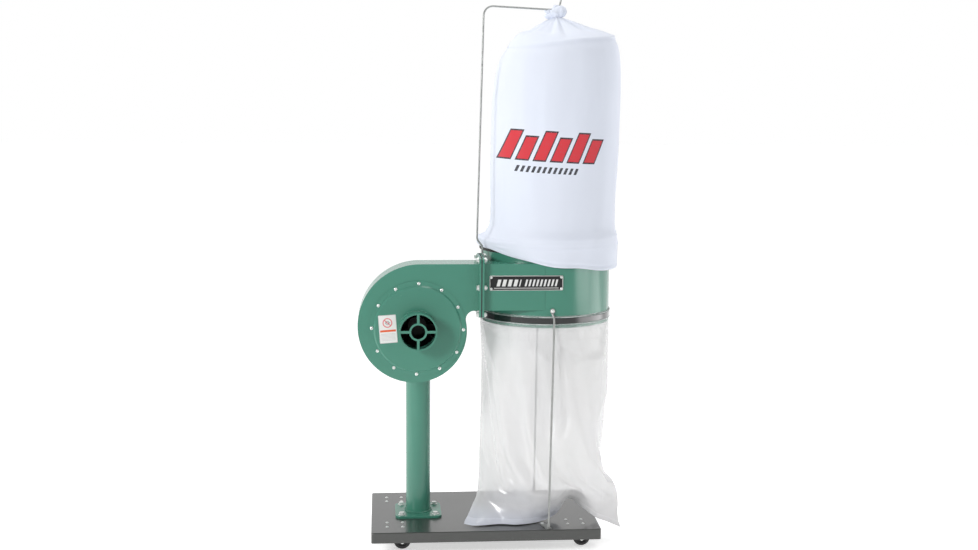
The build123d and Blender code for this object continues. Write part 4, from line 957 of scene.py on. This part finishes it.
def cardMesh(name, width, height, thick, corner, steps=5):
    # rounded card facing -Y with its own UV map, the face at y 0
    bm = bmesh.new()
    uv = bm.loops.layers.uv.new("UVMap")
    outline = []
    for cx, cz, start in ((1, 1, 0), (-1, 1, 90), (-1, -1, 180), (1, -1, 270)):
        for i in range(steps + 1):
            a = math.radians(start + 90 * i / steps)
            x = cx * (width / 2 - corner) + corner * math.cos(a)
            outline.append((x, cz * (height / 2 - corner) + corner * math.sin(a)))
    rim = min(thick * 0.35, corner * 0.5)
    shrink = [(x * (1 - 2 * rim / width), z * (1 - 2 * rim / height)) for x, z in outline]
    loops = ((shrink, 0), (outline, rim), (outline, thick))
    rings = [[bm.verts.new((x, y, z)) for x, z in loop] for loop, y in loops]
    count = len(outline)
    for a, b in zip(rings, rings[1:]):
        for j in range(count):
            k = (j + 1) % count
            bm.faces.new((a[j], b[j], b[k], a[k]))
    bm.faces.new(rings[0])
    bm.faces.new(list(reversed(rings[-1])))
    bmesh.ops.recalc_face_normals(bm, faces=bm.faces)
    for face in bm.faces:
        for loop in face.loops:
            loop[uv].uv = (loop.vert.co.x / width + 0.5, loop.vert.co.z / height + 0.5)
    mesh = bpy.data.meshes.new(name)
    bm.to_mesh(mesh)
    bm.free()
    return mesh


def plateFinish(d, ratio):
    f = Finish("rivetedPlate")
    u, v = f.parts(f.place("UV"))[:2]
    side = (u - 0.5).size() - (0.5 - d["border"] / ratio)
    end = (v - 0.5).size() - (0.5 - d["border"])
    rim = 1 - side.below(0.0) * end.below(0.0)
    lean = u - v * 0.05
    wide = (lean * d["bars"]).wrap().below(0.62) * lean.between(0.08, 0.40)
    narrow = (lean * d["bars"] * 1.5).wrap().below(0.5) * lean.between(0.46, 0.90)
    mark = (wide + narrow) * v.between(0.28, 0.74)
    line = v.between(0.14, 0.18) * u.between(0.06, 0.94)
    bright = f.blend(mark, (0.012, 0.012, 0.013), (0.78, 0.78, 0.77))
    return f.set(
        Base_Color=f.blend((rim + line).math("MINIMUM", 1.0), bright, (0.72, 0.72, 0.70)),
        Metallic=rim * 0.9,
        Roughness=0.34 + f.cloud(260, 3, 0.6, (0.2, 1, 1)) * 0.14,
        Normal=f.bump(mark + rim, 0.0002, 0.7),
    )


def labelFinish():
    f = Finish("printedLabel")
    u, v = f.parts(f.place("UV"))[:2]
    du, dv = (u - 0.5) * 0.625, v - 0.72
    far = (du * du + dv * dv) ** 0.5
    ring = far.between(0.135, 0.17)
    slash = (du * 0.7071 + dv * 0.7071).size().below(0.016) * far.below(0.15)
    blade = far.between(0.04, 0.075) + (du.size().below(0.09) * dv.size().below(0.012))
    band = v.between(0.40, 0.47) * u.between(0.06, 0.94)
    lines = (v * 22).wrap().below(0.4) * v.between(0.06, 0.36) * u.between(0.1, 0.9)
    edge = 1 - u.between(0.03, 0.97) * v.between(0.02, 0.98)
    paper = f.blend(edge * 0.6, (0.83, 0.82, 0.80), (0.5, 0.5, 0.5))
    paper = f.blend(lines * 0.45, paper, (0.35, 0.35, 0.36))
    paper = f.blend((blade * 0.55).math("MINIMUM", 1.0), paper, (0.2, 0.2, 0.22))
    paper = f.blend(band, paper, (0.8, 0.12, 0.03))
    paper = f.blend((ring + slash).math("MINIMUM", 1.0) * 0.85, paper, (0.75, 0.08, 0.1))
    grain = f.bump(f.cloud(500, 2), 0.00002, 0.4)
    return f.set(Base_Color=paper, Roughness=0.36 + f.cloud(90, 3) * 0.1, Normal=grain)


low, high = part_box("nameplate")
mesh = cardMesh("namePlate", high.x - low.x, high.z - low.z, high.y - low.y, plate["corner"] / 1000)
mesh.transform(Matrix.Translation(((low.x + high.x) / 2, low.y, (low.z + high.z) / 2)))
plateLook = plateFinish(plate, (high.x - low.x) / (high.z - low.z))
sign = addObject("ventPlate", mesh, plateLook, smooth=False)
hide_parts("nameplate")
low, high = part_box("safety_label")
width, height, corner = (label[key] / 1000 for key in ("width", "height", "corner"))
mesh = cardMesh("coverLabel", width, height, high.y - low.y, corner)
turn = Matrix.Rotation(math.radians(-label["turn"]), 4, "Y")
mesh.transform(Matrix.Translation(((low.x + high.x) / 2, low.y, (low.z + high.z) / 2)) @ turn)
sticker = addObject("coverLabel", mesh, labelFinish(), smooth=False)
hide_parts("safety_label")
print("plate and label made")


# studio

studio = {
    "eye": (-273.7, -3506.2, 1182.8),
    "yaw": 0.08205, "pitch": 0.13321, "roll": 0.00739,
    "lens": 49.02,
    "floor": 60.0,
    "glow": 0.55,
    "front": 0.22, "rear": 0.85, "side": 4.5,
    # place, target, size, power
    "lights": {
        "key": ((-2.4, -2.1, 1.8), (0, 0, 0.7), (0.8, 0.8), 60),
        "fill": ((2.6, -1.4, 1.2), (0, 0, 0.7), (1.6, 2.0), 12),
        "top": ((0.2, 0.3, 3.4), (0, 0, 0.6), (2.0, 1.4), 26),
    },
}


def makeCamera(d):
    data = bpy.data.cameras.new("camera")
    data.lens = d["lens"]
    data.sensor_width = 36
    data.clip_end = 200
    cam = bpy.data.objects.new("camera", data)
    bpy.context.scene.collection.objects.link(cam)
    y, p, r = d["yaw"], d["pitch"], d["roll"]
    look = Vector((math.sin(y) * math.cos(p), math.cos(y) * math.cos(p), -math.sin(p)))
    flat = Vector((math.cos(y), -math.sin(y), 0))
    rise = flat.cross(look)
    right = flat * math.cos(r) + rise * math.sin(r)
    up = rise * math.cos(r) - flat * math.sin(r)
    cam.matrix_world = Matrix.Translation(at(*d["eye"])) @ Matrix((right, up, -look)).transposed().to_4x4()
    bpy.context.scene.camera = cam


def areaLight(name, place, target, size, power):
    data = bpy.data.lights.new(name, "AREA")
    data.shape = "RECTANGLE"
    data.size, data.size_y = size
    data.energy = power
    obj = bpy.data.objects.new(name, data)
    bpy.context.scene.collection.objects.link(obj)
    obj.location = place
    obj.rotation_euler = (Vector(target) - Vector(place)).to_track_quat("-Z", "Y").to_euler()


def makeWorld(d):
    # white to look at, and a tent that is brighter behind and above than in front
    world = bpy.data.worlds.new("studioTent")
    bpy.context.scene.world = world
    world.use_nodes = True
    w = Nodes()
    w.tree = world.node_tree
    w.tree.nodes.clear()
    where = w.node("ShaderNodeTexCoord")
    parts = w.tree.nodes.new("ShaderNodeSeparateXYZ")
    w.tree.links.new(where.out, parts.inputs[0])
    back = Sock(w.tree, parts.outputs[1]).step(-0.7, 0.8, d["front"], d["rear"])
    seen = w.node("ShaderNodeLightPath")
    strength = seen + (1 - seen) * back
    sky = w.node("ShaderNodeBackground", {}, {"Color": (1.0, 1.0, 1.0), "Strength": strength})
    end = w.tree.nodes.new("ShaderNodeOutputWorld")
    w.tree.links.new(sky.out, end.inputs[0])


def makeFloor(d):
    half = d["floor"] / 2
    mesh = bpy.data.meshes.new("floor")
    corners = [(-half, -half, 0), (half, -half, 0), (half, half, 0), (-half, half, 0)]
    mesh.from_pydata(corners, [], [(0, 1, 2, 3)])
    f = Finish("paleFloor")
    f.skin.inputs["Emission Strength"].default_value = d["glow"]
    x, y, z = f.parts(f.place())
    # white to look at; to the machine it is dim ahead, with a bright patch for the gloss at the right
    front = y.step(-0.75, -0.22, 0.15, 1.0)
    side = x.step(2.6, 3.6) * x.step(7.0, 9.0, 1.0, 0.0) * (x + y).step(0.4, 1.4) * y.step(0.8, 2.0, 1.0, 0.0)
    seen = f.node("ShaderNodeLightPath")
    f.put(f.skin.inputs["Emission Color"], seen + (1 - seen) * (front + side * d["side"]))
    f.skin.inputs["Specular IOR Level"].default_value = 0.0
    paint = f.set(Base_Color=f.blend(f.cloud(3, 2), (0.93, 0.93, 0.93), (0.91, 0.91, 0.91)), Roughness=0.9)
    addObject("studioFloor", mesh, paint, None, False)


makeCamera(studio)
makeWorld(studio)
makeFloor(studio)
for name, setting in studio["lights"].items():
    areaLight(name, *setting)
bpy.context.scene.view_settings.view_transform = "Standard"
print("studio ready")
